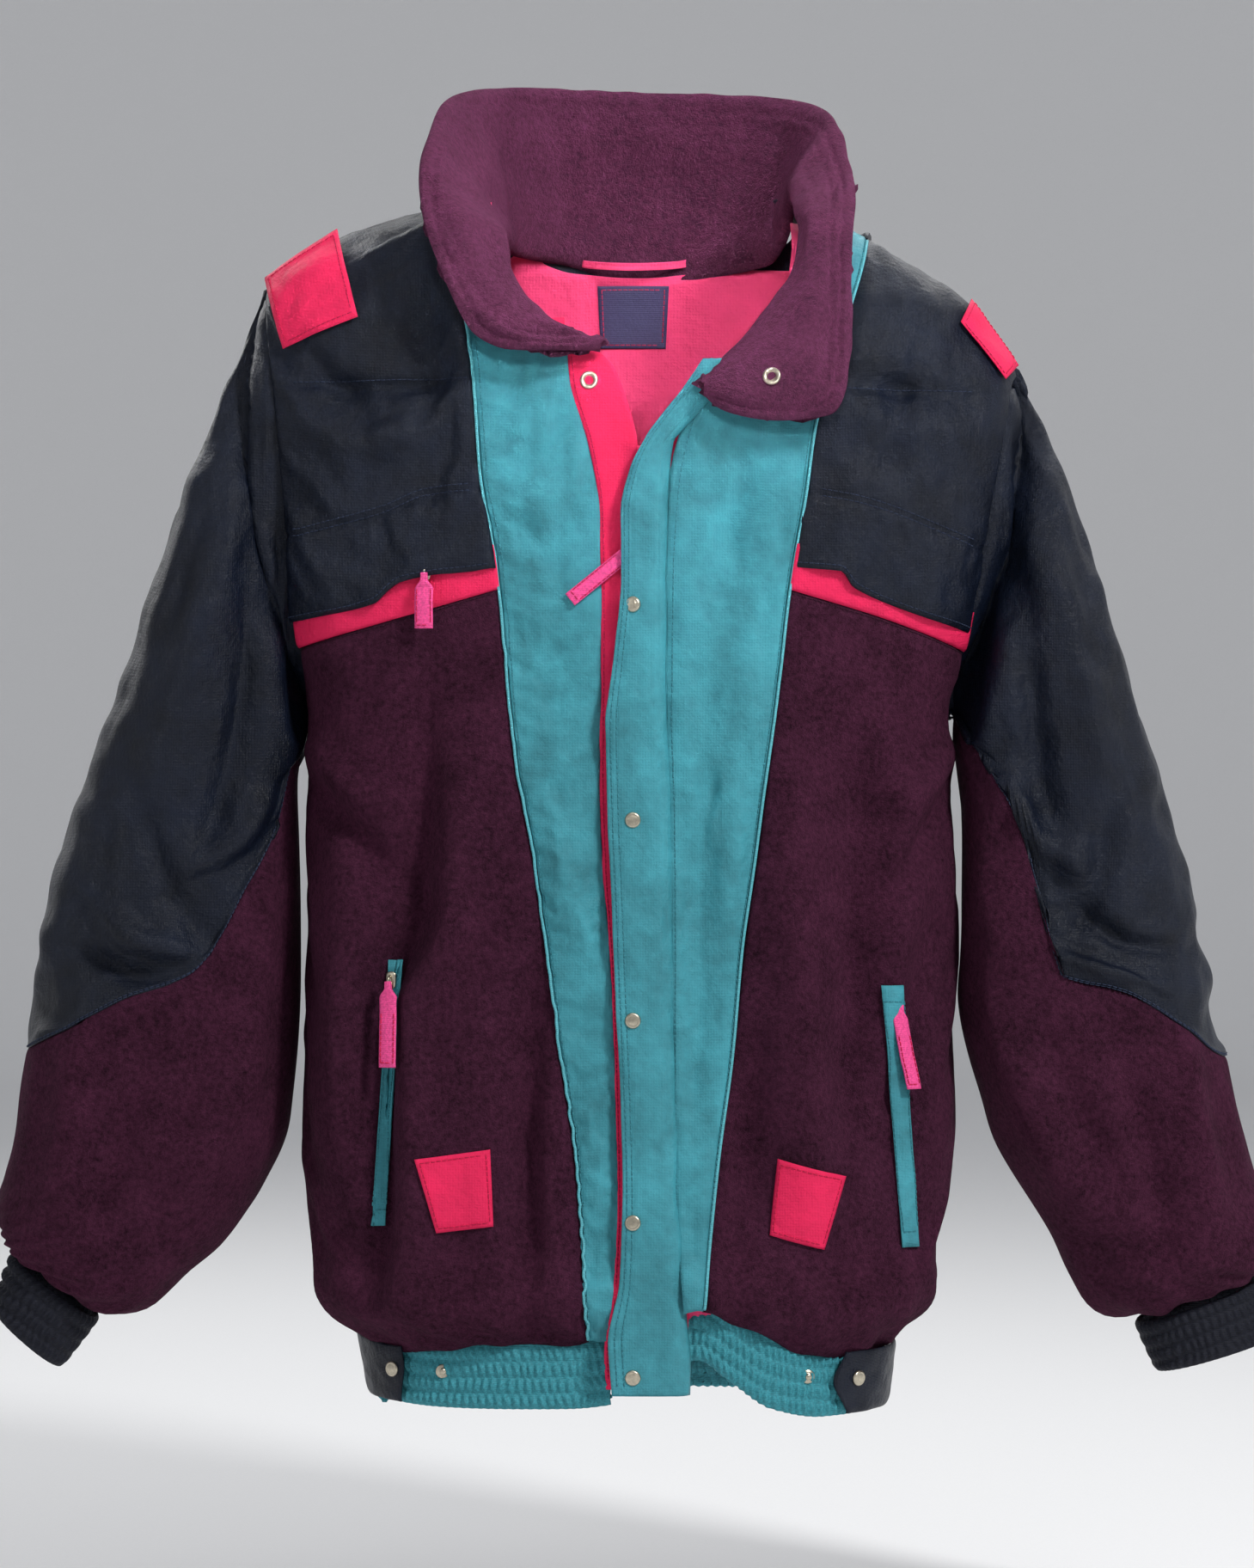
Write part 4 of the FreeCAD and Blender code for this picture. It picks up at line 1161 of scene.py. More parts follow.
def sleeves():
    """Both sleeves: navy part, fleece part, lining and cuff."""
    for side, name in ((-1, "right"), (1, "left")):
        reach = lambda phi: split_at(side, phi)
        navy = sleeve_sheet("sleeve_navy_%s_cloth" % name, side, level(0), reach, 140, 130)
        crumple(close_ring(navy), 1.8, (26, 26, 20), 95 + side)
        crumple(navy, 1.2, (12, 14, 22), 99 + side)
        close_ring(navy)
        d = spans(navy.grid)
        navy.push(-1.6 * fade(d[3], 3.5) - 3.4 * fade(d[2], 2.6))
        navy.grid[..., 0] -= side * 9.0 * fade(d[2], 3.0)
        settle_ring(close_ring(navy), 0.028, 0.8)
        navy.solid(NYLON_THICKNESS, body=None, replaces=["sleeve_navy_" + name], material=NAVY)
        shoulder_blend(navy.obj)
        cloths["sleeve_navy_" + name] = navy
        fleece = sleeve_sheet("sleeve_fleece_%s_cloth" % name, side, reach, level(1), 120, 110)
        d = spans(close_ring(fleece).grid)
        blouse = 8 * bell(d[3] - 30, 24)
        gather = 2.4 * np.sin(2 * PI * d[0] / 31 + 3 * bumps(fleece.grid, 40, 97)) * fade(d[3], 26)
        fleece.push(blouse + gather - 9 * fade(d[3], 7) - 1.8 * fade(d[2], 4))
        settle_ring(close_ring(fleece), 0.016, 4)
        fleece.grid = soften(fleece.grid[:-1], 2, ring=True)
        fleece.grid = np.concatenate([fleece.grid, fleece.grid[:1]])
        fleece.solid(FLEECE_THICKNESS, body=None, replaces=["sleeve_fleece_" + name], material=FLEECE)
        shoulder_blend(fleece.obj)
        cloths["sleeve_fleece_" + name] = fleece
        lining = sleeve_sheet("sleeve_lining_%s_cloth" % name, side, level(0.10), level(0.95), 60, 70,
                              inset=16)
        close_ring(lining).solid(1.4, body=None, replaces=["sleeve_lining_" + name], material=LINING)
        cloths["sleeve_lining_" + name] = lining
        shoulder_blend(lining.obj)
        cuff(side, name)


def shirring(d_along, d_across, height, rows, seed, wave=5.2):
    """Elastic cloth: close gathers, drawn in along rows of stitching. d_across runs over the band."""
    v = d_across / height
    pitch = 1.0 / rows
    row = np.abs(((v / pitch) % 1.0) - 0.5) * 2
    full = ramp(1 - row, 0.0, 0.75)
    drift = 2.6 * bumps(np.stack([d_along, d_across * 0.8, d_along * 0], axis=-1), (14, 9, 9), seed)
    cell = np.floor(v / pitch)
    gathers = np.sin(2 * PI * d_along / wave + drift + cell * 1.7)
    return full * (1.3 + 0.75 * gathers) - 0.5 + 0.25 * gathers


def cuff(side, name):
    """The shirred elastic cuff of a sleeve."""
    start, end = np.array(SLEEVE[side][-1], float), np.array(CUFF_END[side], float)
    start[4] -= 1
    phi, v = np.linspace(-PI, PI, 260)[:, None], np.linspace(0, 1, 44)[None, :]
    rows = [start[k] + (end[k] - start[k]) * v for k in range(5)]
    across, deep = superellipse(phi, 2.2)
    x = (rows[0] + rows[2]) / 2 + (rows[0] - rows[2]) / 2 * across * 0.93
    z = (rows[1] + rows[3]) / 2 + (rows[1] - rows[3]) / 2 * across * 0.93
    y = SLEEVE_Y + rows[4] * deep * 0.95
    cloth = Cloth("cuff_%s_cloth" % name, np.stack([x, y + 0 * x, z], axis=-1), ring=True)
    outward = cloth.grid - cloth.grid.mean(axis=(0, 1), keepdims=True)
    cloth.flip = (cloth.normals() * outward).sum() < 0
    d = spans(cloth.grid)
    height = (d[2] + d[3]).mean()
    plain = bell(np.abs(phi) - PI, 0.35)
    cloth.push(shirring(d[0], d[2], height, 4.0, 101 + side) * (1 - 0.75 * plain) * ramp(d[3], 0, 4)
               - 1.5 * fade(d[2], 3))
    close_ring(cloth).solid(4.0, body="sleeve_" + name, replaces=["cuff_" + name], material=NAVY_BAND)
    cloths["cuff_" + name] = cloth


# ---------------------------------------------------------------- hem
def hem():
    """The elastic hem bands and the tabs on them."""
    bands = (("right", side_x(-1), level(-14)), ("left", level(31), side_x(1)))
    for name, left, right in bands:
        cloth = front_panel("hem_front_%s_cloth" % name, left, right, hem_low, hem_top, 330, 40, folds=0)
        finish_hem(cloth, "hem_front_" + name, 111)
    cloth = front_panel("hem_back_cloth", side_x(-1), side_x(1), lambda x: hem_low(x, True),
                        lambda x: hem_top(x, True), 520, 40, back=True, folds=0)
    finish_hem(cloth, "hem_back", 117)
    tab(-1, "right", [(-139, -664), (-137, -681), (-139, -698)])
    tab(1, "left", [(127, -668), (118, -687), (126, -706)])


def finish_hem(cloth, node, seed):
    d = spans(cloth.grid)
    height = (d[2] + d[3]).mean()
    cloth.push(shirring(d[0], d[2], height, 4.0, seed) * ramp(d[2], 0, 3) * ramp(d[3], 0, 3) - 3.0
               - 3 * fade(d[3], 7))
    cloth.solid(5.0, replaces=[node], material=TEAL_BAND)
    cloths[node] = cloth


def tab(side, name, tip):
    end = lambda z: line_x([(p[0], p[1]) for p in tip], z)
    borders = (side_x(side), end) if side < 0 else (end, side_x(side))
    low = lambda x: hem_low(x) + 1.5
    high = lambda x: hem_top(x) + 1.0
    cloth = front_panel("hem_tab_%s_cloth" % name, *borders, low, high, 40, 30, inset=-2.6, folds=0)
    near = np.minimum.reduce(spans(cloth.grid))
    cloth.push(1.2 * (1 - fade(near, 4)) + 0.5 * bumps(cloth.grid, (9, 9, 7), 121))
    cloth.solid(2.2, body="hem_tab_" + name, replaces=["hem_tab_" + name], material=NAVY)
    cloths["hem_tab_" + name] = cloth


# ---------------------------------------------------------------- collar
# Pairs of points as x, z, y: on the neck or roll line, and on the outer edge. They run from the wearer's
# right tip round the back.
COLLAR_ROWS = [
    ((-14, -63, -168), (-20, -75, -176)), ((-28, -56, -169), (-51, -75, -181)),
    ((-43, -50, -168), (-77, -73, -183)),
    ((-54, -42, -167), (-95, -66, -182)), ((-62, -31, -165), (-108, -47, -180)),
    ((-68, -20, -160), (-121, -16, -176)),
    ((-72, -2, -150), (-129, 10, -168)), ((-75, 0, -125), (-131, 42, -150)),
    ((-76, -1, -95), (-124, 68, -125)),
    ((-74, -2, -62), (-115, 90, -95)), ((-74, 0, -26), (-95, 102, -60)), ((-46, -2, 1), (-50, 107, -22)),
    ((0, -9, 9), (0, 106, -10)), ((35, -9, 6), (40, 105, -11)), ((62, -7, 0), (74, 103, -16)),
    ((84, -2, -18), (104, 98, -32)), ((90, 16, -55), (122, 86, -62)), ((90, 30, -90), (131, 60, -96)),
    ((91, 22, -122), (136, 26, -138)), ((92, 5, -150), (133, -5, -165)), ((87, -21, -164), (131, -52, -178)),
    ((76, -39, -168), (129, -88, -184)), ((64, -56, -172), (119, -112, -186)),
    ((52, -70, -174), (84, -117, -188)),
    ((42, -82, -176), (48, -110, -187)), ((36, -90, -177), (36, -98, -184)),
]
COLLAR_THICKNESS = 9.0


def collar():
    """The tall collar, which stands at the back and rolls out into two wings at the front."""
    rows = np.array(COLLAR_ROWS, float)[..., [0, 2, 1]]
    middle = rows.mean(axis=1)
    along = np.concatenate([[0], np.cumsum(np.linalg.norm(np.diff(middle, axis=0), axis=1))])
    s = np.linspace(0, along[-1], 230)
    inner = np.stack([smooth(along, rows[:, 0, k], s) for k in range(3)], axis=1)
    outer = np.stack([smooth(along, rows[:, 1, k], s) for k in range(3)], axis=1)
    for _ in range(3):
        inner[1:-1] = (inner[:-2] + 2 * inner[1:-1] + inner[2:]) / 4
        outer[1:-1] = (outer[:-2] + 2 * outer[1:-1] + outer[2:]) / 4
    v = np.linspace(0, 1, 44)[None, :, None]
    grid = inner[:, None] * (1 - v) + outer[:, None] * v
    cloth = Cloth("collar_cloth", grid)
    facing = cloth.normals()[115, 22]
    cloth.flip = facing[1] > 0
    standing = bell(s - s[-1] * 0.49, 95)[:, None]
    bow = np.sin(PI * v[..., 0]) ** 0.8
    d = spans(grid)
    cloth.push((9 * (1 - standing) - 7 * standing) * bow)
    cloth.push(-5.5 * fade(d[2], 7) * (1 - standing) * ramp(np.minimum(d[0], d[1]), 0, 16))
    cloth.grid = settle(cloth.grid, edge_pins(cloth.grid), 0.008, 0.0, bend=8, ease=4, cap=4)
    d = spans(cloth.grid)
    edge = np.minimum.reduce([d[0], d[1], d[3]])
    puff = 1.6 * (1 - fade(edge, 5)) - 1.7 * bell(edge - 11, 1.7) - 0.8 * bell(edge - 19, 1.6)
    rumple = 1.8 * bumps(cloth.grid, (30, 30, 24), 131) + 1.0 * bumps(cloth.grid, (14, 14, 11), 132)
    cloth.push(puff + rumple * ramp(edge, 3, 22))
    wrinkle = 0.8 * np.sin(2 * PI * d[0] / 15 + 3 * bumps(cloth.grid, 18, 133)) * bell(edge - 15, 7)
    cloth.push(wrinkle * ramp(edge, 4, 10))
    cloth.solid(COLLAR_THICKNESS, replaces=["collar_outer", "collar_inner"], material=COLLAR_FLEECE_PAINTED_LIGHT,
                edge=1.75,
                width=5.0)
    cloths["collar"] = cloth


def neck_details():
    """The piping, hang loop and blank label inside the neck."""
    z_of = lambda x: line_z(BACK_NECK, x) + 1.0
    x = np.linspace(-56, 60, 80)
    path = body_point(theta_at(x, np.minimum(z_of(x), 36), True), np.minimum(z_of(x), 36), -4.0)
    heap = Heap().add(*tube_mesh(path, 1.7, up=np.tile([0, 0.3, 1.0], (len(path), 1))))
    heap.piece("collar_piping_bead", PIPING_TEAL, replaces=["collar_piping"])
    loop = [(-33, 5.0), (-27, 2.2), (-20, -1.6), (-10, -4.4), (0, -5.4), (10, -4.4), (20, -1.6), (27, 2.2),
            (33, 5.0)]
    line = resample(np.array([(a, b, 0.0) for a, b in loop]), 1.6)
    for _ in range(4):
        line[1:-1] = (line[:-2] + 2 * line[1:-1] + line[2:]) / 4
    sag = 3.2 * np.sin(np.linspace(0, PI, len(line))) ** 0.7
    grid = np.stack([line + np.array([0, 0, h]) - np.outer(sag, [0, 0, 1])
                     for h in np.linspace(-2.4, 2.4, 9)], axis=1)
    strap = Cloth("hang_loop_strap", grid)
    strap.flip = strap.normals()[len(line) // 2, 4][1] > 0
    strap.push(0.3 * bumps(grid, 6, 141) - 0.7 * bell(np.linspace(-1, 1, 9)[None, :], 0.35) * 0.6)
    strap.solid(1.2, replaces=["hang_loop"], material=LINING)
    corners = [(-23, -14), (22, -14), (20, -53), (-21, -53)]
    patch_on("neck_label_patch", ["lining_back"], corners, LABEL, thickness=0.8, lift=0.4, n=30,
             stitches=threads["pink"],
             replaces=["neck_label"])


# ---------------------------------------------------------------- main zip and storm flap
ZIP_X = 10.0
FRONT_Y = -168.0
ZIP_LOW, ZIP_HIGH = -655.0, -152.0
SLIDER_LOW = -190.0
FLAP_SNAP_Z = (-222, -350, -469, -589, -681)
SNAP_X = -1.0


def zip_rows():
    """The main zip's tapes, teeth and bottom box."""
    for side, name in ((-1, "right"), (1, "left")):
        x = np.linspace(1.2, 13.5, 8)[:, None] * side + ZIP_X
        z = np.linspace(ZIP_LOW, ZIP_HIGH, 170)[None, :]
        y = FRONT_Y + 3.4 + 0.15 * np.sin(z / 3.1 + x) + 0 * x
        tape = Cloth("zip_tape_%s_cloth" % name, np.stack([x + 0 * z, y, z + 0 * x], axis=-1), flip=side < 0)
        tape.solid(0.9, replaces=["zip_tape_" + name], material=NAVY_BAND)
        teeth = Heap()
        for z0 in np.arange(ZIP_LOW + 9, ZIP_HIGH - 4, 1.9):
            shift = 0.95 if side > 0 else 0.0
            centre = np.array([ZIP_X + side * 1.1, FRONT_Y + 1.9, z0 + shift])
            hook = [centre + (side * 2.2, 0.9, 0), centre + (side * 0.4, -0.2, 0),
                    centre + (-side * 1.0, 0.2, 0.1),
                    centre + (-side * 1.2, 1.0, 0.1)]
            teeth.add(*tube_mesh(np.array(hook), 0.62, sides=5))
        teeth.piece("zip_coil_%s_teeth" % name, COIL, replaces=["zip_coil_" + name])
    box = Heap().add(*tube_mesh(np.array([(ZIP_X, FRONT_Y + 1.6, ZIP_LOW - 2),
                                          (ZIP_X, FRONT_Y + 1.6, ZIP_LOW + 2),
                                          (ZIP_X, FRONT_Y + 1.6, ZIP_LOW + 9)]), 4.6, sides=16,
                                flatten=0.35))
    box.piece("zip_box_block", COIL, replaces=["zip_box"])


def slider(name, node, across, top, main=False):
    """A zip slider: a waisted plate with a bridge, in its own frame of across, out and up."""
    across = unit(np.array(across, float))
    out = np.cross(across, [0, 0, 1.0])
    size = (4.9, 7.4) if main else (3.5, 5.2)
    heap = Heap()
    for depth, thick in (((0.0, 1.5), (6.2, 1.2)) if main else ((0.0, 1.5),)):
        outline = []
        for a in np.linspace(0, 2 * PI, 28, endpoint=False):
            waist = 1 - 0.22 * math.cos(a) ** 2 * (0.5 - 0.5 * math.sin(a))
            c, s = superellipse(np.array(a), 3.0)
            outline.append((float(c) * size[0] * waist, float(s) * size[1]))
        verts = []
        for inset, level in ((0.5, 0), (0, 0.4), (0, thick - 0.45), (0.55, thick)):
            for px, pz in outline:
                keep = 1 - inset / size[0]
                verts.append(top + across * px * keep + out * (level - depth) + np.array([0, 0, pz * keep]))
        n = len(outline)
        faces = [[r * n + j, r * n + (j + 1) % n, (r + 1) * n + (j + 1) % n, (r + 1) * n + j]
                 for r in range(3) for j in range(n)]
        faces += [list(range(n))[::-1], [3 * n + j for j in range(n)]]
        heap.add(np.array(verts), faces)
    bridge = np.array([(0, 1.2, -size[1] * 0.62), (0, 2.6, -size[1] * 0.5), (0, 4.6, -0.6), (0, 4.6, 1.0),
                       (0, 2.6, size[1] * 0.42), (0, 1.2, size[1] * 0.5)])
    line = np.array([top + across * p[0] + out * p[1] + np.array([0, 0, p[2]]) for p in bridge])
    line = resample(line, 0.8)
    heap.add(*tube_mesh(line, 0.85, sides=8, up=np.tile(across, (len(line), 1))))
    heap.piece(name, METAL, body=node, replaces=[node])


def pull_tape(name, node, pin, across, down, length, width, seed, lean=0):
    """A folded tape that hangs from a slider's bridge, with its end stitched."""
    across, down, pin = [np.array(a, float) for a in (across, down, pin)]
    out = unit(np.cross(across, -down))
    start = 5.0
    profile = [(-1.1, 9), (-1.2, 4), (-1.0, 0), (-0.4, -1.6), (0.6, -1.9), (1.5, -1.0), (1.7, 1.5), (1.5, 6)]
    profile += [(1.3 + 0.5 * math.sin(t * 5 + seed), start + t * (length - start))
                for t in np.linspace(0.05, 1, 26)]
    line = resample(np.array(profile), 1.1)
    widths = width / 2 * (0.36 + 0.64 * ramp(np.abs(line[:, 1]), 2.5, 8.5))
    columns = np.linspace(-1, 1, 9)
    spine = pin + out * line[:, :1] + down * line[:, 1:]
    grid = spine[:, None] + across * (widths[:, None] * columns)[..., None]
    below = np.maximum(line[:, 1] - 8, 0) * ramp(np.arange(len(line)), 12, 16)
    grid = grid + across * (below * math.tan(math.radians(lean)))[:, None, None]
    cup = 0.5 * (1 - columns ** 2)[None, :] * ramp(line[:, 1:], 6, 14)
    tape = Cloth(name, grid)
    middle = tape.normals()[-6, 4]
    tape.flip = float(middle @ out) < 0
    tape.push(cup + 0.25 * bumps(grid, 5, 151 + seed))
    tape.solid(1.5, body=node, replaces=[node], material=TAPE)
    end = Heap()
    for v in (0.12, 0.88):
        seam_stitches(end, tape, v=v, span=(0.5, 0.97), count=80)
    seam_stitches(end, tape, u=0.955, span=(0.12, 0.88), count=30)
    end.piece(name + "_stitches", THREAD_PINK, body=node)


PULLS = {
    "hand_right": ((-147.1, -155.5, -448), (0.9138, -0.4063, 0), 50, 0),
    "hand_left": ((159.4, -143.2, -462), (0.7910, 0.6118, 0), 50, 14),
    "chest": ((-125.2, -165.8, -204), (0.9820, -0.1889, 0), 32, 0),
}


def pulls():
    eye = np.array((ZIP_X, FRONT_Y - 2.6, SLIDER_LOW + 10))
    slider("main_zip_pull_body", "zip_slider", (1, 0, 0), np.array((ZIP_X, FRONT_Y + 0.1, SLIDER_LOW + 7)),
           main=True)
    tilt = math.radians(51)
    down = np.array((-math.sin(tilt), 0, -math.cos(tilt)))
    across = np.array((math.cos(tilt), 0, -math.sin(tilt)))
    pull_tape("main_zip_pull_tape", "zip_pull", eye, across, down, 62, width=9.0, seed=1)
    for name, (pin, across, length, lean) in PULLS.items():
        pin, across = np.array(pin, float), np.array(across, float)
        out = np.cross(across, [0, 0, 1.0])
        slider(name + "_pull_body", name + "_slider", across, pin - out * 4.6 + (0, 0, 2.0))
        pull_tape(name + "_pull_tape", name + "_pull", pin, across, (0, 0, -1), length, width=11.2,
                  seed=len(name),
                  lean=lean)


def flap():
    """The storm flap, sewn along the wearer's left and free on the other side."""
    u, v = np.linspace(0, 1, 30)[:, None], np.linspace(0, 1, 300)[None, :]
    z = -692 + 616 * v + 0 * u
    edge = line_x(FLAP_EDGE, z)
    sewn = np.maximum(line_x(SEWN_X, z), edge + 12 + 9 * ramp(z, -150, -110))
    x = edge + (sewn - edge) * u
    from_seam = sewn - x
    y = FRONT_Y - 0.4 - 8.6 * (1 - fade(from_seam, 4.0))
    cloth = Cloth("storm_flap_cloth", np.stack([x, y, z], axis=-1))
    cloth.flip = cloth.normals()[15, 150][1] > 0
    free = fade(x - edge, 12)
    sway = 1.2 * np.sin(2 * PI * z / 61) * free + 0.8 * bumps(cloth.grid, (14, 14, 26), 161)
    dip = sum(bell(z - s, 13) for s in FLAP_SNAP_Z) * bell(x - SNAP_X, 11)
    cloth.push(sway - 1.1 * dip + 0.7 * bumps(cloth.grid, (7, 7, 12), 162) * ramp(from_seam, 0, 5))
    rows = -0.5 * bell(x - edge - 6.5, 0.9) - 0.7 * bell(from_seam - 5.5, 1.0)
    cloth.push(rows)
    cloth.solid(NYLON_THICKNESS, body=None, replaces=["storm_flap"], material=TEAL)
    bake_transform(cloth.obj)
    cloths["storm_flap"] = cloth


def snaps():
    """Caps on the flap, studs under it, and the snaps of collar, placket and hem."""
    tree = surface_of(cloths["storm_flap"].obj)
    caps = Heap()
    for z in FLAP_SNAP_Z:
        point, normal = drop(tree, SNAP_X, z)
        caps.add(*lathe(SNAP_CAP, point, normal))
        caps.add(*lathe(SNAP_SOCKET, point, normal))
    caps.piece("flap_snap_caps", METAL, body="storm_flap", replaces=["flap_snaps"])
    under = surface_of(cloths["facing_right"].obj, cloths["hem_front_right"].obj)
    studs = Heap()
    for z in FLAP_SNAP_Z:
        point, normal = drop(under, SNAP_X, z)
        studs.add(*lathe([(r, h * 0.75) for r, h in SNAP_STUD], point, normal))
    studs.piece("placket_snap_studs", METAL, replaces=["placket_studs"])
    rings = Heap()
    point, normal = drop(surface_of(cloths["collar"].obj), 81, -88)
    rings.add(*lathe(SNAP_RING, point, normal))
    point, normal = drop(surface_of(cloths["facing_right"].obj, cloths["teal_front_right"].obj), -27, -88)
    rings.add(*lathe(SNAP_RING, point, normal))
    rings.piece("collar_snap_rings", METAL, replaces=["collar_snaps"])
    studs = Heap()
    for node, x, z in (("hem_front_right", -115, -681), ("hem_front_left", 104, -684)):
        point, normal = drop(surface_of(cloths[node].obj), x, z)
        studs.add(*lathe(SNAP_STUD, point, normal))
    studs.piece("hem_snap_studs", METAL, replaces=["hem_studs"])
    for name, x, z in (("right", -146, -681), ("left", 135, -686)):
        point, normal = drop(surface_of(cloths["hem_tab_" + name].obj), x, z)
        cap = Heap().add(*lathe(SNAP_CAP, point, normal))
        cap.piece("tab_%s_snap_cap" % name, METAL, body="hem_tab_" + name, replaces=["tab_snap_" + name])


# ---------------------------------------------------------------- pockets and patches
def pockets():
    for name, corners in (("right", [(-138, -434), (-148, -434), (-159, -594), (-149, -594)]),
                          ("left", [(148, -449), (160, -449), (171, -608), (161, -608)])):
        patch_on("pocket_welt_" + name, ["fleece_front_" + name], corners, TEAL, thickness=1.8, lift=0.6,
                 n=40,
                 stitches=threads["teal"], replaces=["pocket_welts"])


def patches():
    right = ["yoke_front_right", "sleeve_navy_right"]
    left = ["yoke_front_left", "sleeve_navy_left"]
    patch_on("patch_shoulder_right", right, [(-182, 11), (-226, -19), (-212, -65), (-166, -48)], PINK,
             threads["pink"], ["patches"])
    patch_on("patch_shoulder_left", left, [(205, -33), (197, -49), (225, -83), (235, -72)], PINK, n=24,
             stitches=threads["pink"], replaces=["patches"])
    patch_on("patch_hip_right", ["fleece_front_right"],
             [(-131, -552), (-86, -546), (-84, -592), (-118, -596)], PINK, stitches=threads["pink"],
             replaces=["patches"])
    patch_on("patch_hip_left", ["fleece_front_left"],
             [(86, -552), (126, -563), (113, -607), (81, -598)], PINK, stitches=threads["pink"],
             replaces=["patches"])


# ---------------------------------------------------------------- stitching and piping on the panels
threads = {"navy": Heap(), "teal": Heap(), "plum": Heap(), "pink": Heap()}


def fraction(cloth, axis, distance):
    """Grid fraction of a line that runs a distance in from a border."""
    d = spans(cloth.grid)[2 * axis]
    middle = d[:, d.shape[1] // 2] if axis == 0 else d[d.shape[0] // 2]
    return float(np.interp(distance, middle, np.linspace(0, 1, len(middle))))


def topstitching():
    """The rows of stitches beside the seams."""
    for name, side in (("teal_front_right", 0), ("teal_front_left", 1)):
        cloth = cloths[name]
        outer = fraction(cloth, 0, 3.0) if side == 0 else 1 - fraction(cloth, 0, 3.0)
        seam_stitches(threads["teal"], cloth, u=outer, count=700)
    flap_cloth = cloths["storm_flap"]
    heap = Heap()
    for gap in (3.0, 6.5):
        seam_stitches(heap, flap_cloth, u=fraction(flap_cloth, 0, gap), count=700)
    heap.piece("flap_topstitching", THREAD_TEAL, body="storm_flap")
    seam_stitches(threads["teal"], cloths["teal_front_left"], u=fraction(cloths["teal_front_left"], 0, 5.0),
                  count=700)
    for side, name in ((-1, "right"), (1, "left")):
        yoke = cloths["yoke_front_" + name]
        tree = surface_of(yoke.obj)
        seam_stitches(threads["navy"], yoke, v=fraction(yoke, 1, 3.5), count=260)
        chest_line = [(-300, CHEST_LINE[side]), (300, CHEST_LINE[side])]
        for curve, gap in ((FLAP_LINE[side], 0), (FLAP_LINE[side], 4), (chest_line, 0)):
            lo, hi = (-206, -96) if side < 0 else (112, 206)
            x = np.linspace(lo, hi, 130)
            hits = [drop(tree, a, float(line_z(curve, a)) + gap) for a in x]
            stitch(threads["navy"], np.array([h[0] for h in hits]), np.array([h[1] for h in hits]))
        fleece = cloths["fleece_front_" + name]
        seam_stitches(threads["plum"], fleece, v=1 - fraction(fleece, 1, 3.0), count=260)
        facing = cloths["facing_" + name]
        seam_stitches(threads["pink"], facing, u=0.12 if side < 0 else 0.5, count=500)
        upper = cloths["sleeve_navy_" + name]
        heap = Heap()
        for gap in (3.5, 8.5):
            seam_stitches(heap, upper, v=1 - fraction(upper, 1, gap), span=(0, 1), count=600)
        heap.piece("sleeve_%s_topstitching" % name, THREAD_NAVY, body="sleeve_" + name)
    heaps = (("navy", THREAD_NAVY), ("teal", THREAD_TEAL), ("plum", THREAD_PLUM), ("pink", THREAD_PINK))
    for name, material in heaps:
        if threads[name].count:
            threads[name].piece("body_stitches_" + name, material)


def teal_piping():
    """The light piping along the outer seams of the teal panels."""
    heap = Heap()
    for name, u in (("teal_front_right", 0.0), ("teal_front_left", 1.0)):
        points, normals = cloths[name].at(np.full(500, u), np.linspace(0.002, 0.965, 500))
        for _ in range(12):
            points[1:-1] = (points[:-2] + 2 * points[1:-1] + points[2:]) / 4
        heap.add(*tube_mesh(points + normals * 0.9, 0.95, sides=7, up=normals))
    heap.piece("panel_piping", PIPING_TEAL)


# ---------------------------------------------------------------- everything in order
def build():
    for side in (-1, 1):
        fleece_front(side)
        yoke_front(side)
        chest_trim(side)
    teal_front()
    facings()
    back_panels()
    linings()
    sleeves()
    hem()
    collar()
    flap()
    zip_rows()
    pulls()
    neck_details()
    pockets()
    patches()
    snaps()
    teal_piping()
    topstitching()


def declare():
    """Passes each hung, laid and gathered sheet, with the cloths that hold it, to declare_sheet, which works
    out the sheet's size and keeps nothing.
    """
    hung = {"storm_flap": "teal_front_left", "facing_right": "teal_front_right",
            "facing_left": "teal_front_left",
            "chest_trim_right": "yoke_front_right", "chest_trim_left": "yoke_front_left",
            "lining_front_right": "facing_right", "lining_front_left": "facing_left",
            "sleeve_lining_right": "sleeve_navy_right", "sleeve_lining_left": "sleeve_navy_left"}
    for name, holder in hung.items():
        cloths[name].declare_sheet("hung", [cloths[holder].obj])
    for name, under in laid.items():
        cloths[name].declare_sheet("laid", [cloths[below].obj for below in under])
    gathered = {"hem_front_right": "fleece_front_right", "hem_front_left": "fleece_front_left",
                "hem_back": "fleece_back", "cuff_right": "sleeve_fleece_right",
                "cuff_left": "sleeve_fleece_left",
                "hem_tab_right": "hem_front_right", "hem_tab_left": "hem_front_left"}
    for name, holder in gathered.items():
        held, gather = ("laid", 1.0) if "tab" in name else ("gathered", GATHER)
        cloths[name].declare_sheet(held, [cloths[holder].obj], gather)


ROOM = 6.5
FLOOR_Z = -0.86


# The photo's frame is VIEW_HEIGHT metres high at the jacket's front, which is VIEW_DISTANCE from the camera.
SENSOR = 24.0
VIEW_DISTANCE = 2.88
VIEW_HEIGHT = 0.9485


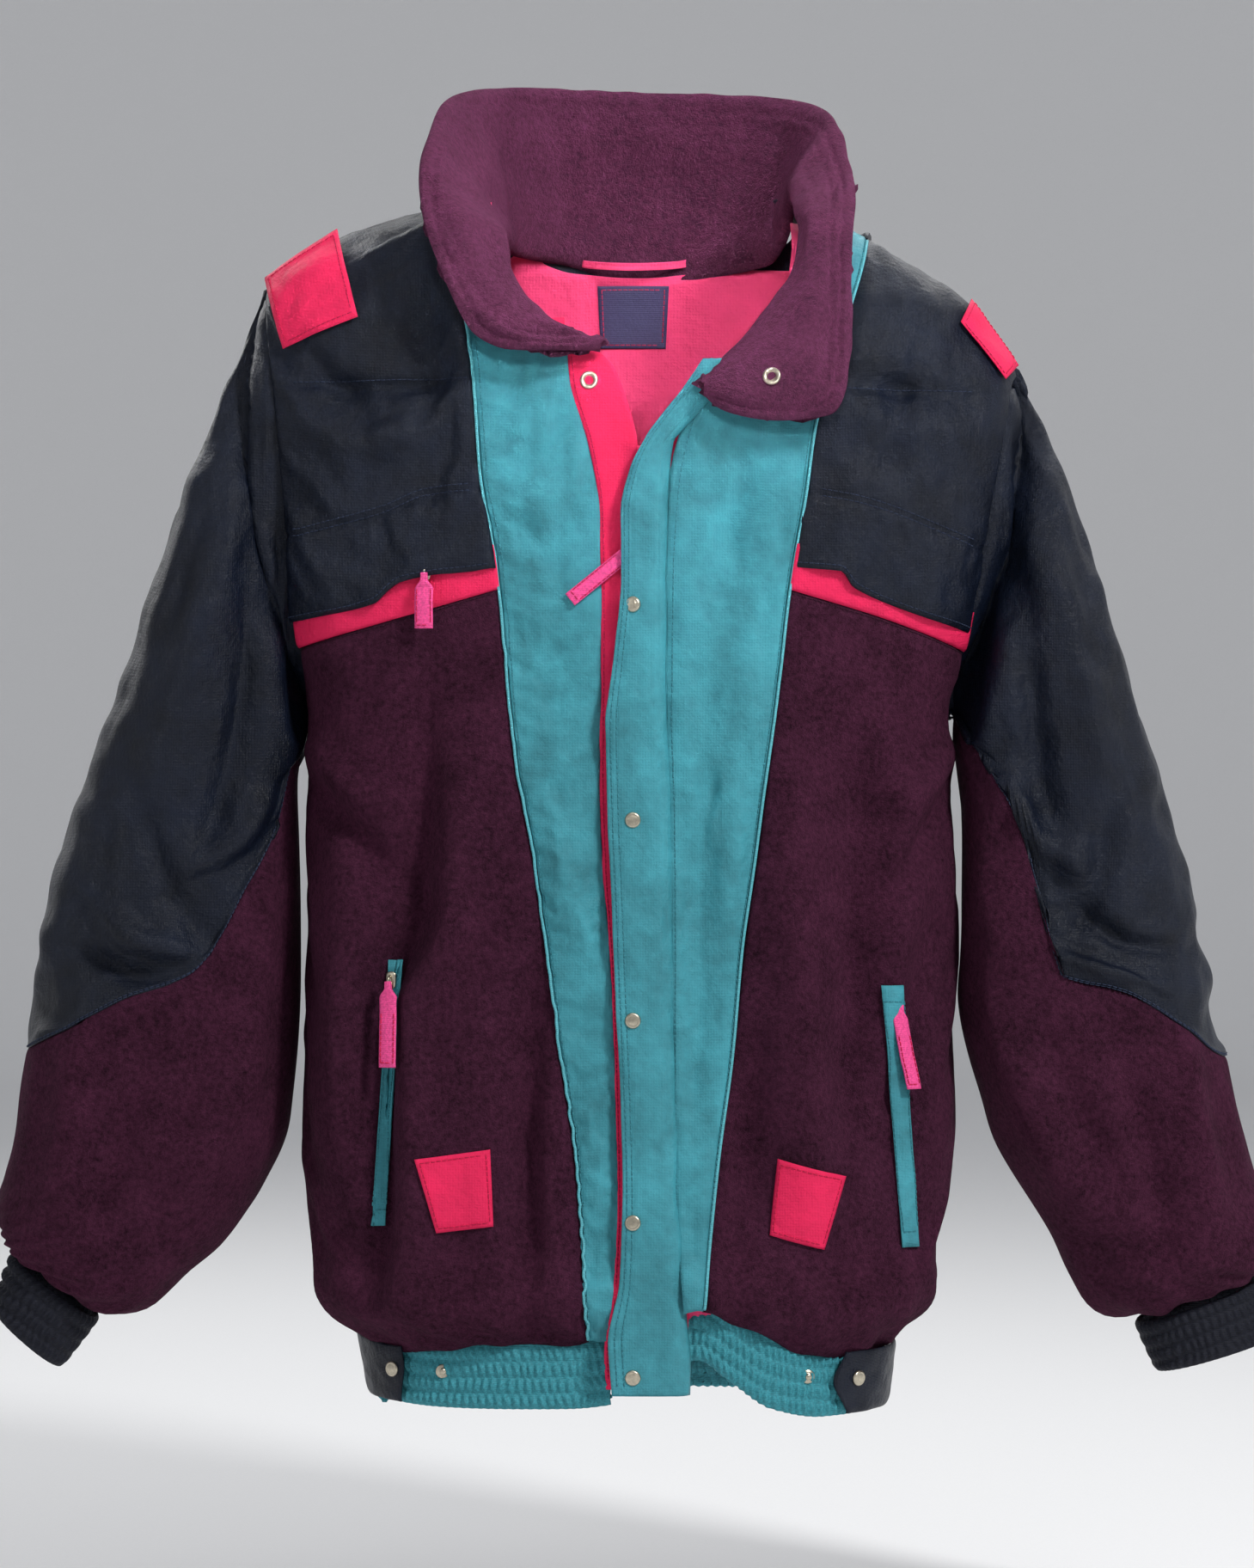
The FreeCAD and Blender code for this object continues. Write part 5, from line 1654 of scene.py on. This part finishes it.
def floor_and_backdrop():
    """A round white studio whose floor curves up into its wall, so that every side has the same backdrop."""
    pale = node_material("studio_paper", (0.86, 0.86, 0.86), (0.89, 0.89, 0.89), 0.9, metal_pattern)
    bend = np.linspace(0, PI / 2, 14)
    profile = [(0.01, FLOOR_Z), (1.5, FLOOR_Z)]
    profile += [(ROOM - 1 + math.sin(a), FLOOR_Z + 1 - math.cos(a)) for a in bend] + [(ROOM, 2.6)]
    turns, rows = 96, len(profile)
    verts = [(r * math.cos(2 * PI * k / turns), r * math.sin(2 * PI * k / turns), z) for k in range(turns)
             for r, z in profile]
    faces = [(k * rows + i, (k + 1) % turns * rows + i, (k + 1) % turns * rows + i + 1, k * rows + i + 1)
             for k in range(turns) for i in range(rows - 1)]
    mesh = bpy.data.meshes.new("studio_sweep")
    mesh.from_pydata(verts, [], faces)
    mesh.polygons.foreach_set("use_smooth", [True] * len(mesh.polygons))
    sweep = bpy.data.objects.new("studio_sweep", mesh)
    bpy.context.scene.collection.objects.link(sweep)
    mesh.materials.append(pale)


def area_light(name, place, aim, size, power, spread=PI):
    data = bpy.data.lights.new(name, "AREA")
    data.shape, data.size, data.energy, data.spread = "DISK", size, power, spread
    lamp = bpy.data.objects.new(name, data)
    lamp.location = place
    lamp.rotation_euler = (Vector(aim) - Vector(place)).to_track_quat("-Z", "Y").to_euler()
    bpy.context.scene.collection.objects.link(lamp)


def lights_and_camera():
    area_light("key", (1.5, -2.0, 1.5), (0, -0.1, -0.25), 0.5, 70)
    area_light("fill", (-1.8, -2.0, 0.3), (0, -0.1, -0.4), 1.4, 4)
    area_light("neck", (0.02, -2.5, 0.5), (0.01, -0.02, -0.03), 0.3, 0.27, spread=0.2)
    area_light("top", (0, -0.4, 2.2), (0, -0.05, -0.2), 1.0, 8)
    area_light("back", (-1.5, 2.2, 1.3), (0, 0, -0.25), 0.8, 20)
    area_light("rim", (0.6, 1.4, 1.4), (0, 0, -0.2), 1.2, 14)
    world = bpy.data.worlds.new("studio")
    world.use_nodes = True
    world.node_tree.nodes["Background"].inputs["Color"].default_value = (0.92, 0.94, 1.0, 1)
    world.node_tree.nodes["Background"].inputs["Strength"].default_value = 0.34
    bpy.context.scene.world = world
    data = bpy.data.cameras.new("camera")
    data.sensor_fit, data.sensor_height = "VERTICAL", SENSOR
    data.lens = SENSOR * VIEW_DISTANCE / VIEW_HEIGHT
    camera = bpy.data.objects.new("camera", data)
    camera.location = (-0.0044, -3.0, -0.3286)
    camera.rotation_euler = (PI / 2, 0, 0)
    bpy.context.scene.collection.objects.link(camera)
    bpy.context.scene.camera = camera
    bpy.context.scene.view_settings.view_transform = "Standard"


build()
declare()
floor_and_backdrop()
lights_and_camera()
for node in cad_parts.values():
    if not node.hide_render and node.data and not node.data.materials:
        node.data.materials.append(METAL)
